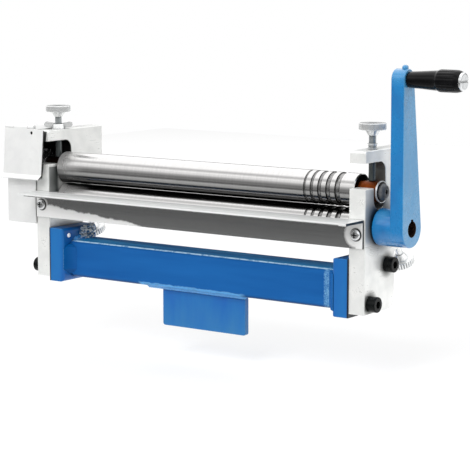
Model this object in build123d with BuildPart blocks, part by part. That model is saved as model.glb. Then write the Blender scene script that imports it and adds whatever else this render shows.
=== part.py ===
"""Bench slip roll: three rolls between two side plates on a welded base with a vise tab.

Millimetres, +X along the rolls towards the crank, +Y towards the back, +Z up.
The origin is the centre of the vise tab's front face below its weld, where a vise holds it.
"""

import math
import os

from build123d import *

os.makedirs("parts", exist_ok=True)

# Sizes that set the whole machine.
inside_width = 320.0
plate_thickness = 15.0
plate_foot_depth = 47.3
roll_diameter = 28.0
roll_gap = 0.5
roll_setback = 22.6
under_roll_gap = 11.5
beam_depth = 35.0
beam_height = 33.5
beam_back_gap = 2.3
end_plate_rise = 11.5
tab_height = 34.8
tab_width = 89.0
tab_thickness = 4.8
tab_inset = 8.7
weld_leg = 4.0
crank_radius = 121.0
crank_lean = 3.6
rear_lean = 25.0

# Sizes shared by several pieces.
overrun = 5.0
running_clearance = 0.04
sliding_clearance = 0.06
seat_clearance = 0.02
roll_side_clearance = 1.5
journal_diameter = 13.0
bush_diameter = 18.0
bush_flat_depth = 0.8
bush_end_play = 0.3
bush_overhang = 0.6
key_width = 4.0
key_depth_in_shaft = 2.4
key_depth_in_hub = 1.6
adjusting_thread_diameter = 6.0

# Places worked out from them. A height is over the foot and a setback behind the columns' front.
roll_radius = roll_diameter / 2
centre_distance = roll_diameter + roll_gap
beam_setback = plate_foot_depth - beam_back_gap - beam_depth
tab_setback = beam_setback + tab_inset
end_plate_top = beam_height + end_plate_rise
lower_axis_height = end_plate_top + under_roll_gap + roll_radius
top_axis_height = lower_axis_height + centre_distance
foot_z = (tab_height + weld_leg) / 2
front_y = -tab_setback
inner_x = inside_width / 2
outer_x = inner_x + plate_thickness
plate_mid_x = inner_x + plate_thickness / 2
axis_y = front_y + roll_setback
lower_axis_z = foot_z + lower_axis_height
top_axis_z = foot_z + top_axis_height
roll_end_x = inner_x - roll_side_clearance
journal_radius = journal_diameter / 2
bush_radius = bush_diameter / 2
bush_end_x = outer_x + bush_overhang
thread_radius = adjusting_thread_diameter / 2


def bar_along_x(start_x, end_x, radius, centre_y, centre_z, mode=Mode.ADD):
    """Add or cut a round bar along X, between two places on that axis."""
    with BuildSketch(Plane.YZ.offset(start_x)) as section:
        with Locations((centre_y, centre_z)):
            Circle(radius)
    extrude(section.sketch, amount=end_x - start_x, mode=mode)


def bar_along_plane(plane, length, radius, mode=Mode.ADD):
    """Add or cut a round bar that starts on a plane's origin and follows its normal."""
    with BuildSketch(plane) as section:
        Circle(radius)
    extrude(section.sketch, amount=length, mode=mode)


def block(low, high, mode=Mode.ADD):
    """Add or cut an upright block between two opposite corners."""
    with Locations(tuple((a + b) / 2 for a, b in zip(low, high))):
        Box(high[0] - low[0], high[1] - low[1], high[2] - low[2], mode=mode)


def x_seat(side, x, y, z):
    """A plane that looks out along X on one side of the machine."""
    return Plane(origin=(side * x, y, z), x_dir=(0, 1, 0), z_dir=(side, 0, 0))


def finish(piece, name):
    """Label a finished piece and write it to its own file."""
    piece.part.label = name
    export_step(piece.part, "parts/" + name + ".step")


# Side plates: a column and foot in front, a bridge over an open mouth, and a rear overhang.
column_rise = 3.7
mouth_height = 20.9
bridge_thickness = 9.8
mouth_corner_radius = 8.0
foot_corner_radius = 8.5
bridge_corner_radius = 2.0
slot_spare_depth = 5.14
plate_edge_chamfer = 0.5
slot_radius = bush_radius + sliding_clearance
column_height = top_axis_height + column_rise
bridge_underside = column_height + mouth_height
plate_height = bridge_underside + bridge_thickness

# The rear roll climbs a slanted slot, which starts low behind the lower roll.
rear_roll_gap = 5.2
rear_roll_drop = 2.4
rear_travel = 12.0
rear_face_distance = 16.0
rear_wall = 20.2
rear_roll_setback = roll_setback + roll_diameter + rear_roll_gap
rear_roll_height = lower_axis_height - rear_roll_drop
plate_top_depth = rear_roll_setback + rear_wall
lean = math.radians(rear_lean)
rear_up = Vector(0, -math.sin(lean), math.cos(lean))
rear_side = Vector(0, math.cos(lean), math.sin(lean))
rear_start = Vector(0, front_y + rear_roll_setback, foot_z + rear_roll_height)
rear_middle = rear_start + rear_up * (rear_travel / 2)
slant_foot = rear_start - rear_up * rear_face_distance

# Screws that go into the side plates. A place is a setback and a height.
frame_screw_diameter = 8.0
frame_screw_hole_clearance = 0.2
frame_screw_reach = 25.0
low_screw_setback = 8.5
low_screw_height = 8.5
high_screw_inset = 11.0
high_screw_drop = 7.0
end_plate_back_gap = 1.3
high_screw_setback = plate_foot_depth - end_plate_back_gap - high_screw_inset
high_screw_height = end_plate_top - high_screw_drop
frame_screw_places = [
    (low_screw_setback, low_screw_height),
    (high_screw_setback, high_screw_height),
]
feed_screw_diameter = 5.0
feed_screw_reach = 12.0
feed_lip_rise = 7.6
feed_screw_drop = 12.1
feed_lip_height = lower_axis_height + feed_lip_rise
feed_screw_height = feed_lip_height - feed_screw_drop

# Gears on the rolls' left ends, and the cover over them, which two screws hold by a flange.
gear_teeth = 19
gear_module = centre_distance / gear_teeth
addendum_share = 1.0
gear_tip_radius = centre_distance / 2 + gear_module * addendum_share
cover_sheet = 1.5
cover_gear_gap = 1.15
cover_flange_gap = 7.0
cover_screw_diameter = 4.0
cover_screw_reach = 9.0
cover_screw_inset = 6.0
cover_screw_rise = 8.0
cover_screw_drop = 9.4
rear_slot_top = rear_roll_height + rear_travel * rear_up.Z + slot_radius
cover_back_depth = roll_setback + gear_tip_radius + cover_gear_gap + cover_sheet
cover_flange_foot = rear_slot_top + cover_flange_gap
cover_screw_setback = cover_back_depth + cover_screw_inset
cover_screw_heights = [cover_flange_foot + cover_screw_rise, plate_height - cover_screw_drop]


def slant_height(depth):
    """Height over the foot at which the slanted edge meets a depth behind the front."""
    along = (front_y + depth - slant_foot.Y) / rear_side.Y
    return slant_foot.Z + rear_side.Z * along - foot_z


def rear_plane(x, distance):
    """A plane across the rear screw's line, some way up from the rear roll's low place."""
    return Plane(
        origin=rear_start + rear_up * distance + Vector(x, 0, 0),
        x_dir=(1, 0, 0),
        z_dir=rear_up,
    )


def make_side_plate(side):
    """One side plate; side is 1 for the right and -1 for the left."""
    face_x = side * inner_x
    amount = side * plate_thickness
    slot_back = roll_setback + slot_radius
    slot_floor_z = top_axis_z - slot_spare_depth
    with BuildPart() as plate:
        with BuildSketch(Plane.YZ.offset(face_x)) as outline:
            with BuildLine():
                Polyline(
                    (front_y, foot_z),
                    (front_y + plate_foot_depth, foot_z),
                    (front_y + plate_foot_depth, foot_z + slant_height(plate_foot_depth)),
                    (front_y + plate_top_depth, foot_z + slant_height(plate_top_depth)),
                    (front_y + plate_top_depth, foot_z + plate_height),
                    (front_y, foot_z + plate_height),
                    close=True,
                )
            make_face()
            foot_corner = outline.vertices().group_by(Axis.Y)[0].sort_by(Axis.X)[-1]
            fillet(foot_corner, foot_corner_radius)
            bridge_corner = outline.vertices().group_by(Axis.Y)[-1].sort_by(Axis.X)[0]
            fillet(bridge_corner, bridge_corner_radius)
            # The mouth opens forwards between the column and the bridge.
            with BuildLine():
                arc_low = (front_y + slot_back, foot_z + bridge_underside - mouth_corner_radius)
                arc_high = (front_y + slot_back - mouth_corner_radius, foot_z + bridge_underside)
                Polyline(
                    arc_high,
                    (front_y - overrun, foot_z + bridge_underside),
                    (front_y - overrun, foot_z + column_height),
                    (front_y + slot_back, foot_z + column_height),
                    arc_low,
                )
                RadiusArc(arc_low, arc_high, -mouth_corner_radius)
            make_face(mode=Mode.SUBTRACT)
            # A round-bottomed slot below it takes the top roll's bush.
            with Locations((axis_y, slot_floor_z)):
                Circle(slot_radius, mode=Mode.SUBTRACT)
            slot_depth = foot_z + column_height + sliding_clearance - slot_floor_z
            with Locations((axis_y, slot_floor_z + slot_depth / 2)):
                Rectangle(2 * slot_radius, slot_depth, mode=Mode.SUBTRACT)
            with Locations((axis_y, lower_axis_z)):
                Circle(bush_radius + seat_clearance, mode=Mode.SUBTRACT)
            with Locations((rear_middle.Y, rear_middle.Z)):
                SlotCenterToCenter(
                    rear_travel, 2 * slot_radius, rotation=90 + rear_lean, mode=Mode.SUBTRACT
                )
            for y, z in frame_screw_places:
                with Locations((front_y + y, foot_z + z)):
                    hole_radius = frame_screw_diameter / 2 + frame_screw_hole_clearance
                    Circle(hole_radius, mode=Mode.SUBTRACT)
        extrude(amount=amount)
        chamfer(faces().sort_by(Axis.X)[-1].outer_wire().edges(), plate_edge_chamfer)
        # Screw holes: down through the bridge, up the slant, and in from the front.
        screw_hole = thread_radius + running_clearance
        bridge_top = Plane.XY.offset(foot_z + plate_height)
        with BuildSketch(bridge_top):
            with Locations((side * plate_mid_x, axis_y)):
                Circle(screw_hole)
        extrude(amount=-(bridge_thickness + overrun), mode=Mode.SUBTRACT)
        with BuildSketch(rear_plane(side * plate_mid_x, -rear_face_distance - overrun)):
            Circle(screw_hole)
        extrude(amount=rear_face_distance + overrun, mode=Mode.SUBTRACT)
        with BuildSketch(Plane.XZ.offset(-front_y)):
            with Locations((side * plate_mid_x, foot_z + feed_screw_height)):
                Circle(feed_screw_diameter / 2 + seat_clearance)
        extrude(amount=-feed_screw_reach, mode=Mode.SUBTRACT)
        if side < 0:
            hole_radius = cover_screw_diameter / 2 + seat_clearance
            for height in cover_screw_heights:
                seat = x_seat(side, outer_x, front_y + cover_screw_setback, foot_z + height)
                bar_along_plane(seat, -cover_screw_reach, hole_radius, mode=Mode.SUBTRACT)
    return plate


finish(make_side_plate(1), "right_side_plate")
finish(make_side_plate(-1), "left_side_plate")

# Welded base: two thick end plates, a rectangular tube between them and the vise tab below.
end_plate_thickness = 15.8
end_plate_proud = 0.8
end_plate_drop = 3.6
end_plate_corner_radius = 3.0
beam_wall = 2.5
beam_corner_radius = 4.5
tab_corner_radius = 2.0
weld_bevel = 0.8
back_weld_leg = 0.8
beam_end_x = inner_x - end_plate_thickness
beam_front_y = front_y + beam_setback
beam_back_y = beam_front_y + beam_depth
beam_top_z = foot_z + beam_height


def make_end_plate(side):
    """One end plate of the base, with tapped holes for the frame screws."""
    low_x, high_x = sorted((side * beam_end_x, side * inner_x))
    back_y = front_y + plate_foot_depth - end_plate_back_gap
    with BuildPart() as plate:
        block(
            (low_x, front_y - end_plate_proud, foot_z - end_plate_drop),
            (high_x, back_y, foot_z + end_plate_top),
        )
        inner_end = 0 if side > 0 else -1
        level_edges = edges().filter_by(Axis.Y).group_by(Axis.X)[inner_end]
        front_edge = edges().filter_by(Axis.Z).group_by(Axis.X)[inner_end].sort_by(Axis.Y)[0]
        fillet([*level_edges, front_edge], end_plate_corner_radius)
        for y, z in frame_screw_places:
            seat = x_seat(side, inner_x, front_y + y, foot_z + z)
            depth = frame_screw_reach - plate_thickness
            hole_radius = frame_screw_diameter / 2 + seat_clearance
            bar_along_plane(seat, -depth, hole_radius, mode=Mode.SUBTRACT)
    return plate


finish(make_end_plate(1), "right_end_plate")
finish(make_end_plate(-1), "left_end_plate")

with BuildPart() as beam_tube:
    with BuildSketch(Plane.YZ.offset(-beam_end_x)):
        with Locations((beam_front_y + beam_depth / 2, foot_z + beam_height / 2)):
            RectangleRounded(beam_depth, beam_height, beam_corner_radius)
            RectangleRounded(
                beam_depth - 2 * beam_wall,
                beam_height - 2 * beam_wall,
                beam_corner_radius - beam_wall,
                mode=Mode.SUBTRACT,
            )
    extrude(amount=2 * beam_end_x)
finish(beam_tube, "beam_tube")

# The tab's top edges are bevelled for the welds that hold it.
with BuildPart() as vise_tab:
    tab_foot_z = foot_z - tab_height
    with BuildSketch(Plane.YZ.offset(-tab_width / 2)):
        with BuildLine():
            Polyline(
                (0, tab_foot_z),
                (0, foot_z - weld_leg),
                (weld_bevel, foot_z),
                (tab_thickness - weld_bevel, foot_z),
                (tab_thickness, foot_z - weld_leg),
                (tab_thickness, tab_foot_z),
                close=True,
            )
        make_face()
    extrude(amount=tab_width)
    fillet(edges().filter_by(Axis.Y).group_by(Axis.Z)[0], tab_corner_radius)
finish(vise_tab, "vise_tab")

with BuildPart() as weld_beads:
    # Along the tab, in front and behind, under the tube.
    for face_y, way in ((0, -1), (tab_thickness, 1)):
        with BuildSketch(Plane.YZ.offset(-tab_width / 2)):
            with BuildLine():
                Polyline(
                    (face_y - way * weld_bevel, foot_z),
                    (face_y + way * weld_leg, foot_z),
                    (face_y, foot_z - weld_leg),
                    close=True,
                )
            make_face()
        extrude(amount=tab_width)
    # Where the tube's front, back and top meet the end plates.
    for side in (-1, 1):
        for face_y, reach in ((beam_front_y, -weld_leg), (beam_back_y, back_weld_leg)):
            with BuildSketch(Plane.XY.offset(foot_z + beam_corner_radius)):
                with BuildLine():
                    Polyline(
                        (side * beam_end_x, face_y),
                        (side * beam_end_x, face_y + reach),
                        (side * (beam_end_x - abs(reach)), face_y),
                        close=True,
                    )
                make_face()
            extrude(amount=beam_height - 2 * beam_corner_radius)
        with BuildSketch(Plane.XZ.offset(-(beam_front_y + beam_corner_radius))):
            with BuildLine():
                Polyline(
                    (side * beam_end_x, beam_top_z),
                    (side * beam_end_x, beam_top_z + weld_leg),
                    (side * (beam_end_x - weld_leg), beam_top_z),
                    close=True,
                )
            make_face()
        extrude(amount=-(beam_depth - 2 * beam_corner_radius))
finish(weld_beads, "weld_beads")

# Socket-head cap screws, through the side plates into the end plates.
cap_head_diameter = 13.0
cap_head_height = 8.0
cap_socket_size = 6.0
cap_socket_depth = 4.5
cap_edge_radius = 0.8


def socket_head(seat, diameter, height, edge_radius, socket_size, socket_depth):
    """Draw a round screw head with a hex socket in the open part, standing on a plane."""
    bar_along_plane(seat, height, diameter / 2)
    rims = edges(Select.LAST).filter_by(GeomType.CIRCLE)
    fillet(rims.sort_by(Axis(seat.origin, seat.z_dir))[-1], edge_radius)
    with BuildSketch(seat.offset(height)) as socket:
        RegularPolygon(socket_size / 2, 6, major_radius=False)
    extrude(socket.sketch, amount=-socket_depth, mode=Mode.SUBTRACT)


with BuildPart() as frame_cap_screws:
    for side in (-1, 1):
        for y, z in frame_screw_places:
            seat = x_seat(side, outer_x, front_y + y, foot_z + z)
            socket_head(
                seat,
                cap_head_diameter,
                cap_head_height,
                cap_edge_radius,
                cap_socket_size,
                cap_socket_depth,
            )
            bar_along_plane(seat, -frame_screw_reach, frame_screw_diameter / 2)
finish(frame_cap_screws, "frame_cap_screws")

# Feed angle across the front: a flat lip on top and a leg screwed to the two columns.
feed_overlap = 13.8
feed_lip_depth = 27.3
feed_leg_height = 23.5
feed_thickness = 2.0
feed_bend_radius = 1.2
feed_hole_clearance = 0.15
feed_face_y = front_y - feed_thickness
feed_length = inside_width + 2 * feed_overlap

with BuildPart() as feed_angle:
    with BuildSketch(Plane.YZ.offset(-feed_length / 2)) as angle:
        with BuildLine():
            Polyline(
                (front_y, foot_z + feed_lip_height),
                (front_y, foot_z + feed_lip_height - feed_leg_height),
                (feed_face_y, foot_z + feed_lip_height - feed_leg_height),
                (feed_face_y, foot_z + feed_lip_height - feed_thickness),
                (front_y - feed_lip_depth, foot_z + feed_lip_height - feed_thickness),
                (front_y - feed_lip_depth, foot_z + feed_lip_height),
                close=True,
            )
        make_face()
    extrude(amount=feed_length)
    fillet(edges().filter_by(Axis.X).group_by(Axis.Z)[-1].sort_by(Axis.Y)[-1], feed_bend_radius)
    for side in (-1, 1):
        with BuildSketch(Plane.XZ.offset(-front_y)):
            with Locations((side * plate_mid_x, foot_z + feed_screw_height)):
                Circle(feed_screw_diameter / 2 + feed_hole_clearance)
        extrude(amount=feed_thickness, mode=Mode.SUBTRACT)
finish(feed_angle, "feed_angle")

# Pan-head screws with a cross recess: two hold the feed angle and two hold the gear cover.
feed_head_diameter = 9.2
feed_head_height = 2.9
cover_head_diameter = 7.6
cover_head_height = 2.4
recess_width_share = 0.13
recess_length_share = 0.55
recess_depth_share = 0.6
dome_share = 0.7


def pan_screw(seat, head_diameter, head_height, shank_diameter, shank_length):
    """Draw a cross-recess screw in the open part, with its head on a plane."""
    bar_along_plane(seat, head_height, head_diameter / 2)
    rims = edges(Select.LAST).filter_by(GeomType.CIRCLE)
    fillet(rims.sort_by(Axis(seat.origin, seat.z_dir))[-1], head_height * dome_share)
    with BuildSketch(seat.offset(head_height)) as recess:
        Rectangle(head_diameter * recess_length_share, head_diameter * recess_width_share)
        Rectangle(head_diameter * recess_width_share, head_diameter * recess_length_share)
    extrude(recess.sketch, amount=-head_height * recess_depth_share, mode=Mode.SUBTRACT)
    bar_along_plane(seat, -shank_length, shank_diameter / 2)


with BuildPart() as feed_angle_screws:
    for side in (-1, 1):
        seat = Plane(
            origin=(side * plate_mid_x, feed_face_y, foot_z + feed_screw_height),
            x_dir=(1, 0, 0),
            z_dir=(0, -1, 0),
        )
        shank_length = feed_screw_reach + feed_thickness
        pan_screw(seat, feed_head_diameter, feed_head_height, feed_screw_diameter, shank_length)
finish(feed_angle_screws, "feed_angle_screws")

# Where the gears, the rolls' ends and the crank come along X, outwards from the plates.
gear_pressure_angle = 20.0
gear_backlash = 0.12
gear_face_width = 12.0
gear_hub_length = 5.0
gear_hub_diameter = 22.0
gear_play = 0.6
dedendum_share = 1.25
flank_shares = [0.0, 0.3, 0.55, 0.78, 1.0]
gear_start_x = bush_end_x + gear_play
gear_end_x = gear_start_x + gear_hub_length + gear_face_width

# Rolls: polished bars with turned-down journals, two of them with grooves for wire.
wire_groove_count = 5
wire_groove_inset = 16.1
wire_groove_land = 4.35
widest_wire_groove = 5.0
wire_groove_step = 0.7
roll_edge_chamfer = 0.8
journal_edge_chamfer = 0.6
end_screw_diameter = 6.0
end_screw_depth = 14.0
end_screw_spare_depth = 5.0
end_screw_play = 0.1
crank_gap = 0.6
crank_hub_length = 17.1
crank_arm_thickness = 12.0
crank_shaft_recess = 6.3
crank_start_x = bush_end_x + crank_gap
crank_arm_x = crank_start_x + crank_hub_length
crank_face_x = crank_arm_x + crank_arm_thickness
shaft_end_x = crank_face_x - crank_shaft_recess
plain_end_x = bush_end_x + end_screw_play
key_length = 11.0
crank_key_length = 16.0
gear_key_start_x = gear_start_x + gear_hub_length / 2


def wire_grooves(centre_y, centre_z):
    """Cut the half-round grooves for wire, the widest nearest to the crank."""
    place = roll_end_x - wire_groove_inset
    width = widest_wire_groove
    for _ in range(wire_groove_count):
        with Locations(Plane(origin=(place, centre_y, centre_z), z_dir=(1, 0, 0))):
            Torus(roll_radius, width / 2, mode=Mode.SUBTRACT)
        place -= width - wire_groove_step / 2 + wire_groove_land
        width -= wire_groove_step


def make_roll(left_end, right_end, centre_y, centre_z, grooved, left_screw, right_screw, keys):
    """One roll; keys are (side, start, length) of the flat-bottomed seats cut in its ends."""
    with BuildPart() as roll:
        bar_along_x(-roll_end_x, roll_end_x, roll_radius, centre_y, centre_z)
        chamfer(edges().filter_by(GeomType.CIRCLE), roll_edge_chamfer)
        if grooved:
            wire_grooves(centre_y, centre_z)
        bar_along_x(-left_end, -roll_end_x, journal_radius, centre_y, centre_z)
        bar_along_x(roll_end_x, right_end, journal_radius, centre_y, centre_z)
        ends = edges().filter_by(GeomType.CIRCLE).sort_by(Axis.X)
        chamfer([ends[0], ends[-1]], journal_edge_chamfer)
        for side, end, wanted in ((-1, left_end, left_screw), (1, right_end, right_screw)):
            if wanted:
                seat = x_seat(side, end, centre_y, centre_z)
                hole_radius = end_screw_diameter / 2 + seat_clearance
                bar_along_plane(seat, -end_screw_depth, hole_radius, mode=Mode.SUBTRACT)
        for side, start, length in keys:
            top = centre_z + journal_radius
            ends_x = sorted((side * start, side * (start + length)))
            block(
                (ends_x[0], centre_y - key_width / 2, top - key_depth_in_shaft),
                (ends_x[1], centre_y + key_width / 2, top + overrun),
                mode=Mode.SUBTRACT,
            )
    return roll


top_keys = [(-1, gear_key_start_x, key_length)]
lower_keys = top_keys + [(1, crank_start_x, crank_key_length)]
top_roll = make_roll(gear_end_x, plain_end_x, axis_y, top_axis_z, True, True, True, top_keys)
finish(top_roll, "top_roll")
lower_roll = make_roll(gear_end_x, shaft_end_x, axis_y, lower_axis_z, True, True, False, lower_keys)
finish(lower_roll, "lower_roll")
rear_roll = make_roll(plain_end_x, plain_end_x, rear_start.Y, rear_start.Z, False, True, True, [])
finish(rear_roll, "rear_roll")


def make_bush(side, centre_y, centre_z):
    """A bronze bush in one side plate, from the roll's shoulder to just past the plate."""
    start_x = side * (roll_end_x + bush_end_play)
    with BuildPart() as bush:
        bar_along_x(start_x, side * bush_end_x, bush_radius, centre_y, centre_z)
        bore = journal_radius + running_clearance
        bar_along_x(start_x, side * bush_end_x, bore, centre_y, centre_z, mode=Mode.SUBTRACT)
    return bush


def flatten_top(bush):
    """Cut the flat on a top bush on which the adjusting screw presses."""
    flat_z = top_axis_z + bush_radius - bush_flat_depth
    with BuildPart() as flat:
        add(bush.part)
        block(
            (-bush_end_x - overrun, axis_y - bush_radius, flat_z),
            (bush_end_x + overrun, axis_y + bush_radius, flat_z + bush_radius),
            mode=Mode.SUBTRACT,
        )
    return flat


def flatten_rear(bush, side):
    """Cut the flat under a rear bush, square to the slanted screw."""
    with BuildPart() as flat:
        add(bush.part)
        with BuildSketch(rear_plane(side * plate_mid_x, bush_flat_depth - bush_radius)):
            Rectangle(4 * plate_thickness, 2 * bush_diameter)
        extrude(amount=-bush_radius, mode=Mode.SUBTRACT)
    return flat


for side, word in ((-1, "left"), (1, "right")):
    finish(make_bush(side, axis_y, lower_axis_z), "lower_roll_bush_" + word)
    finish(flatten_top(make_bush(side, axis_y, top_axis_z)), "top_roll_bush_" + word)
    rear_bush = make_bush(side, rear_start.Y, rear_start.Z)
    finish(flatten_rear(rear_bush, side), "rear_roll_bush_" + word)


def involute(base_radius, radius):
    """Angle that an involute has turned by the time it reaches a radius."""
    ratio = base_radius / radius
    pressure = math.acos(min(1, ratio))
    return math.tan(pressure) - pressure


def make_gear(centre_z):
    """A spur gear on a roll's left end, with one tooth pointing straight up."""
    pitch_radius = centre_distance / 2
    base_radius = pitch_radius * math.cos(math.radians(gear_pressure_angle))
    root_radius = pitch_radius - gear_module * dedendum_share
    half_tooth = math.pi / (2 * gear_teeth) - gear_backlash / (2 * pitch_radius)
    half_at_base = half_tooth + involute(base_radius, pitch_radius)
    radii = [base_radius + (gear_tip_radius - base_radius) * share for share in flank_shares]
    angles = [half_at_base - involute(base_radius, radius) for radius in radii]
    left_flank = [(-r * math.sin(a), r * math.cos(a)) for r, a in zip(radii, angles)]
    right_flank = [(-y, z) for y, z in left_flank]
    root_left = (-root_radius * math.sin(half_at_base), root_radius * math.cos(half_at_base))
    root_right = (-root_left[0], root_left[1])
    keyway_top = journal_radius + key_depth_in_hub
    with BuildSketch() as tooth:
        with BuildLine():
            Spline(*left_flank)
            Spline(*right_flank)
            ThreePointArc(left_flank[-1], (0, gear_tip_radius), right_flank[-1])
            Polyline(left_flank[0], root_left, (0, 0), root_right, right_flank[0])
        make_face()
    with BuildPart() as gear:
        face_x = -(gear_start_x + gear_hub_length)
        with BuildSketch(Plane.YZ.offset(face_x)):
            with Locations((axis_y, centre_z)):
                Circle(root_radius)
                with PolarLocations(0, gear_teeth):
                    add(tooth.sketch)
        extrude(amount=-gear_face_width)
        bar_along_x(-gear_start_x, face_x, gear_hub_diameter / 2, axis_y, centre_z)
        bore = journal_radius + seat_clearance
        bar_along_x(-gear_start_x, -gear_end_x, bore, axis_y, centre_z, mode=Mode.SUBTRACT)
        block(
            (-gear_end_x, axis_y - key_width / 2, centre_z),
            (-gear_start_x, axis_y + key_width / 2, centre_z + keyway_top),
            mode=Mode.SUBTRACT,
        )
    return gear


finish(make_gear(top_axis_z), "top_gear")
finish(make_gear(lower_axis_z), "lower_gear")


def make_key(side, start, length, centre_z):
    """A square key, half in the shaft and half in the piece that it drives."""
    top = centre_z + journal_radius
    ends_x = sorted((side * start, side * (start + length)))
    with BuildPart() as key:
        block(
            (ends_x[0], axis_y - key_width / 2, top - key_depth_in_shaft),
            (ends_x[1], axis_y + key_width / 2, top + key_depth_in_hub - seat_clearance),
        )
    return key


finish(make_key(-1, gear_key_start_x, key_length, top_axis_z), "top_gear_key")
finish(make_key(-1, gear_key_start_x, key_length, lower_axis_z), "lower_gear_key")
finish(make_key(1, crank_start_x, crank_key_length, lower_axis_z), "crank_key")

# Washers and domed socket screws that hold the rolls endways.
washer_diameter = 18.0
washer_thickness = 1.5
button_diameter = 14.0
button_height = 4.2
button_edge_radius = 3.6
button_socket_size = 4.0
button_socket_depth = 2.5


def end_washer(seat):
    """Draw a washer on a journal's end in the open part."""
    bar_along_plane(seat, washer_thickness, washer_diameter / 2)
    hole_radius = end_screw_diameter / 2 + sliding_clearance
    bar_along_plane(seat, washer_thickness, hole_radius, mode=Mode.SUBTRACT)


def end_screw(seat):
    """Draw a domed socket screw over an end washer in the open part."""
    head_seat = seat.offset(washer_thickness)
    socket_head(
        head_seat,
        button_diameter,
        button_height,
        button_edge_radius,
        button_socket_size,
        button_socket_depth,
    )
    shank_length = washer_thickness + end_screw_depth - end_screw_spare_depth
    bar_along_plane(head_seat, -shank_length, end_screw_diameter / 2)


end_seats = {
    "top_roll": [
        x_seat(-1, gear_end_x, axis_y, top_axis_z),
        x_seat(1, plain_end_x, axis_y, top_axis_z),
    ],
    "lower_roll": [x_seat(-1, gear_end_x, axis_y, lower_axis_z)],
    "rear_roll": [
        x_seat(-1, plain_end_x, rear_start.Y, rear_start.Z),
        x_seat(1, plain_end_x, rear_start.Y, rear_start.Z),
    ],
}
for roll_name, seats in end_seats.items():
    with BuildPart() as washers:
        for seat in seats:
            end_washer(seat)
    ending = "s" if len(seats) > 1 else ""
    finish(washers, roll_name + "_end_washer" + ending)
    with BuildPart() as screws:
        for seat in seats:
            end_screw(seat)
    finish(screws, roll_name + "_end_screw" + ending)

# Knurled thumb screws: two press the top bushes down, two push the rear bushes up.
knob_disc_diameter = 22.5
knob_disc_height = 5.5
knob_hub_height = 4.5
knob_hub_diameter = 13.0
knob_hub_foot_diameter = 8.0
knob_edge_chamfer = 0.5
fine_knurl = (72, 0.5)
coarse_knurl = (30, 1.1)
screw_tip_chamfer = 0.8
knob_rise = 11.3
rear_knob_gap = 1.0
bush_flat_radius = bush_radius - bush_flat_depth
top_screw_length = plate_height - (top_axis_height + bush_flat_radius) + knob_rise
rear_screw_length = rear_face_distance - bush_flat_radius + rear_travel + rear_knob_gap


def thumb_screw(tip, shank_length, knurl_shape):
    """Draw a thumb screw in the open part; knurl_shape is its notches' count and size."""
    knurl_count, knurl_size = knurl_shape
    disc_seat = tip.offset(shank_length + knob_hub_height)
    bar_along_plane(tip, shank_length, thread_radius)
    chamfer(edges(Select.LAST).sort_by(Axis(tip.origin, tip.z_dir))[0], screw_tip_chamfer)
    with BuildSketch(tip.offset(shank_length)) as hub_foot:
        Circle(knob_hub_foot_diameter / 2)
    with BuildSketch(disc_seat) as hub_top:
        Circle(knob_hub_diameter / 2)
    loft([hub_foot.sketch, hub_top.sketch])
    bar_along_plane(disc_seat, knob_disc_height, knob_disc_diameter / 2)
    rims = edges(Select.LAST).filter_by(GeomType.CIRCLE).sort_by(SortBy.RADIUS)[-2:]
    chamfer(rims, knob_edge_chamfer)
    with BuildSketch(disc_seat) as knurl:
        with PolarLocations(knob_disc_diameter / 2, knurl_count):
            Rectangle(knurl_size, knurl_size, rotation=45)
    extrude(knurl.sketch, amount=knob_disc_height, mode=Mode.SUBTRACT)


for side, word in ((-1, "left"), (1, "right")):
    top_tip = Plane(origin=(side * plate_mid_x, axis_y, top_axis_z + bush_flat_radius))
    with BuildPart() as top_thumb_screw:
        thumb_screw(top_tip, top_screw_length, fine_knurl)
    finish(top_thumb_screw, "adjusting_screw_" + word)
    low_tip = rear_plane(side * plate_mid_x, -bush_flat_radius)
    rear_tip = Plane(origin=low_tip.origin, x_dir=(1, 0, 0), z_dir=-rear_up)
    with BuildPart() as rear_thumb_screw:
        thumb_screw(rear_tip, rear_screw_length, coarse_knurl)
    finish(rear_thumb_screw, "rear_adjusting_screw_" + word)

# Wing nut that locks the left adjusting screw on top of its bridge.
wing_nut_height = 4.6
wing_nut_foot_diameter = 12.0
wing_nut_top_diameter = 9.6
wing_span = 26.0
wing_rise = 6.6
wing_root_height = 0.9
wing_thickness = 2.2
wing_tip_radius = 2.5
wing_angle = 35.0

with BuildPart() as wing_nut:
    nut_seat = Plane(
        origin=(-plate_mid_x, axis_y, foot_z + plate_height),
        x_dir=(math.cos(math.radians(wing_angle)), math.sin(math.radians(wing_angle)), 0),
        z_dir=(0, 0, 1),
    )
    with BuildSketch(nut_seat):
        Circle(wing_nut_foot_diameter / 2)
    with BuildSketch(nut_seat.offset(wing_nut_height)):
        Circle(wing_nut_top_diameter / 2)
    loft()
    wing_plane = Plane(origin=nut_seat.origin, x_dir=nut_seat.x_dir, z_dir=nut_seat.y_dir)
    for way in (-1, 1):
        with BuildSketch(wing_plane) as wing:
            tip_x = way * (wing_span / 2 - wing_tip_radius)
            with Locations((tip_x, wing_tip_radius - wing_rise)):
                Circle(wing_tip_radius)
            root_x = way * wing_nut_top_diameter / 4
            with Locations((root_x, -(wing_root_height + wing_nut_height) / 2)):
                Rectangle(wing_nut_top_diameter / 2, wing_nut_height - wing_root_height)
            make_hull()
        extrude(amount=wing_thickness / 2, both=True)
    with BuildSketch(nut_seat):
        Circle(thread_radius + running_clearance)
    extrude(amount=wing_rise + overrun, mode=Mode.SUBTRACT)
finish(wing_nut, "wing_nut")

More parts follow.
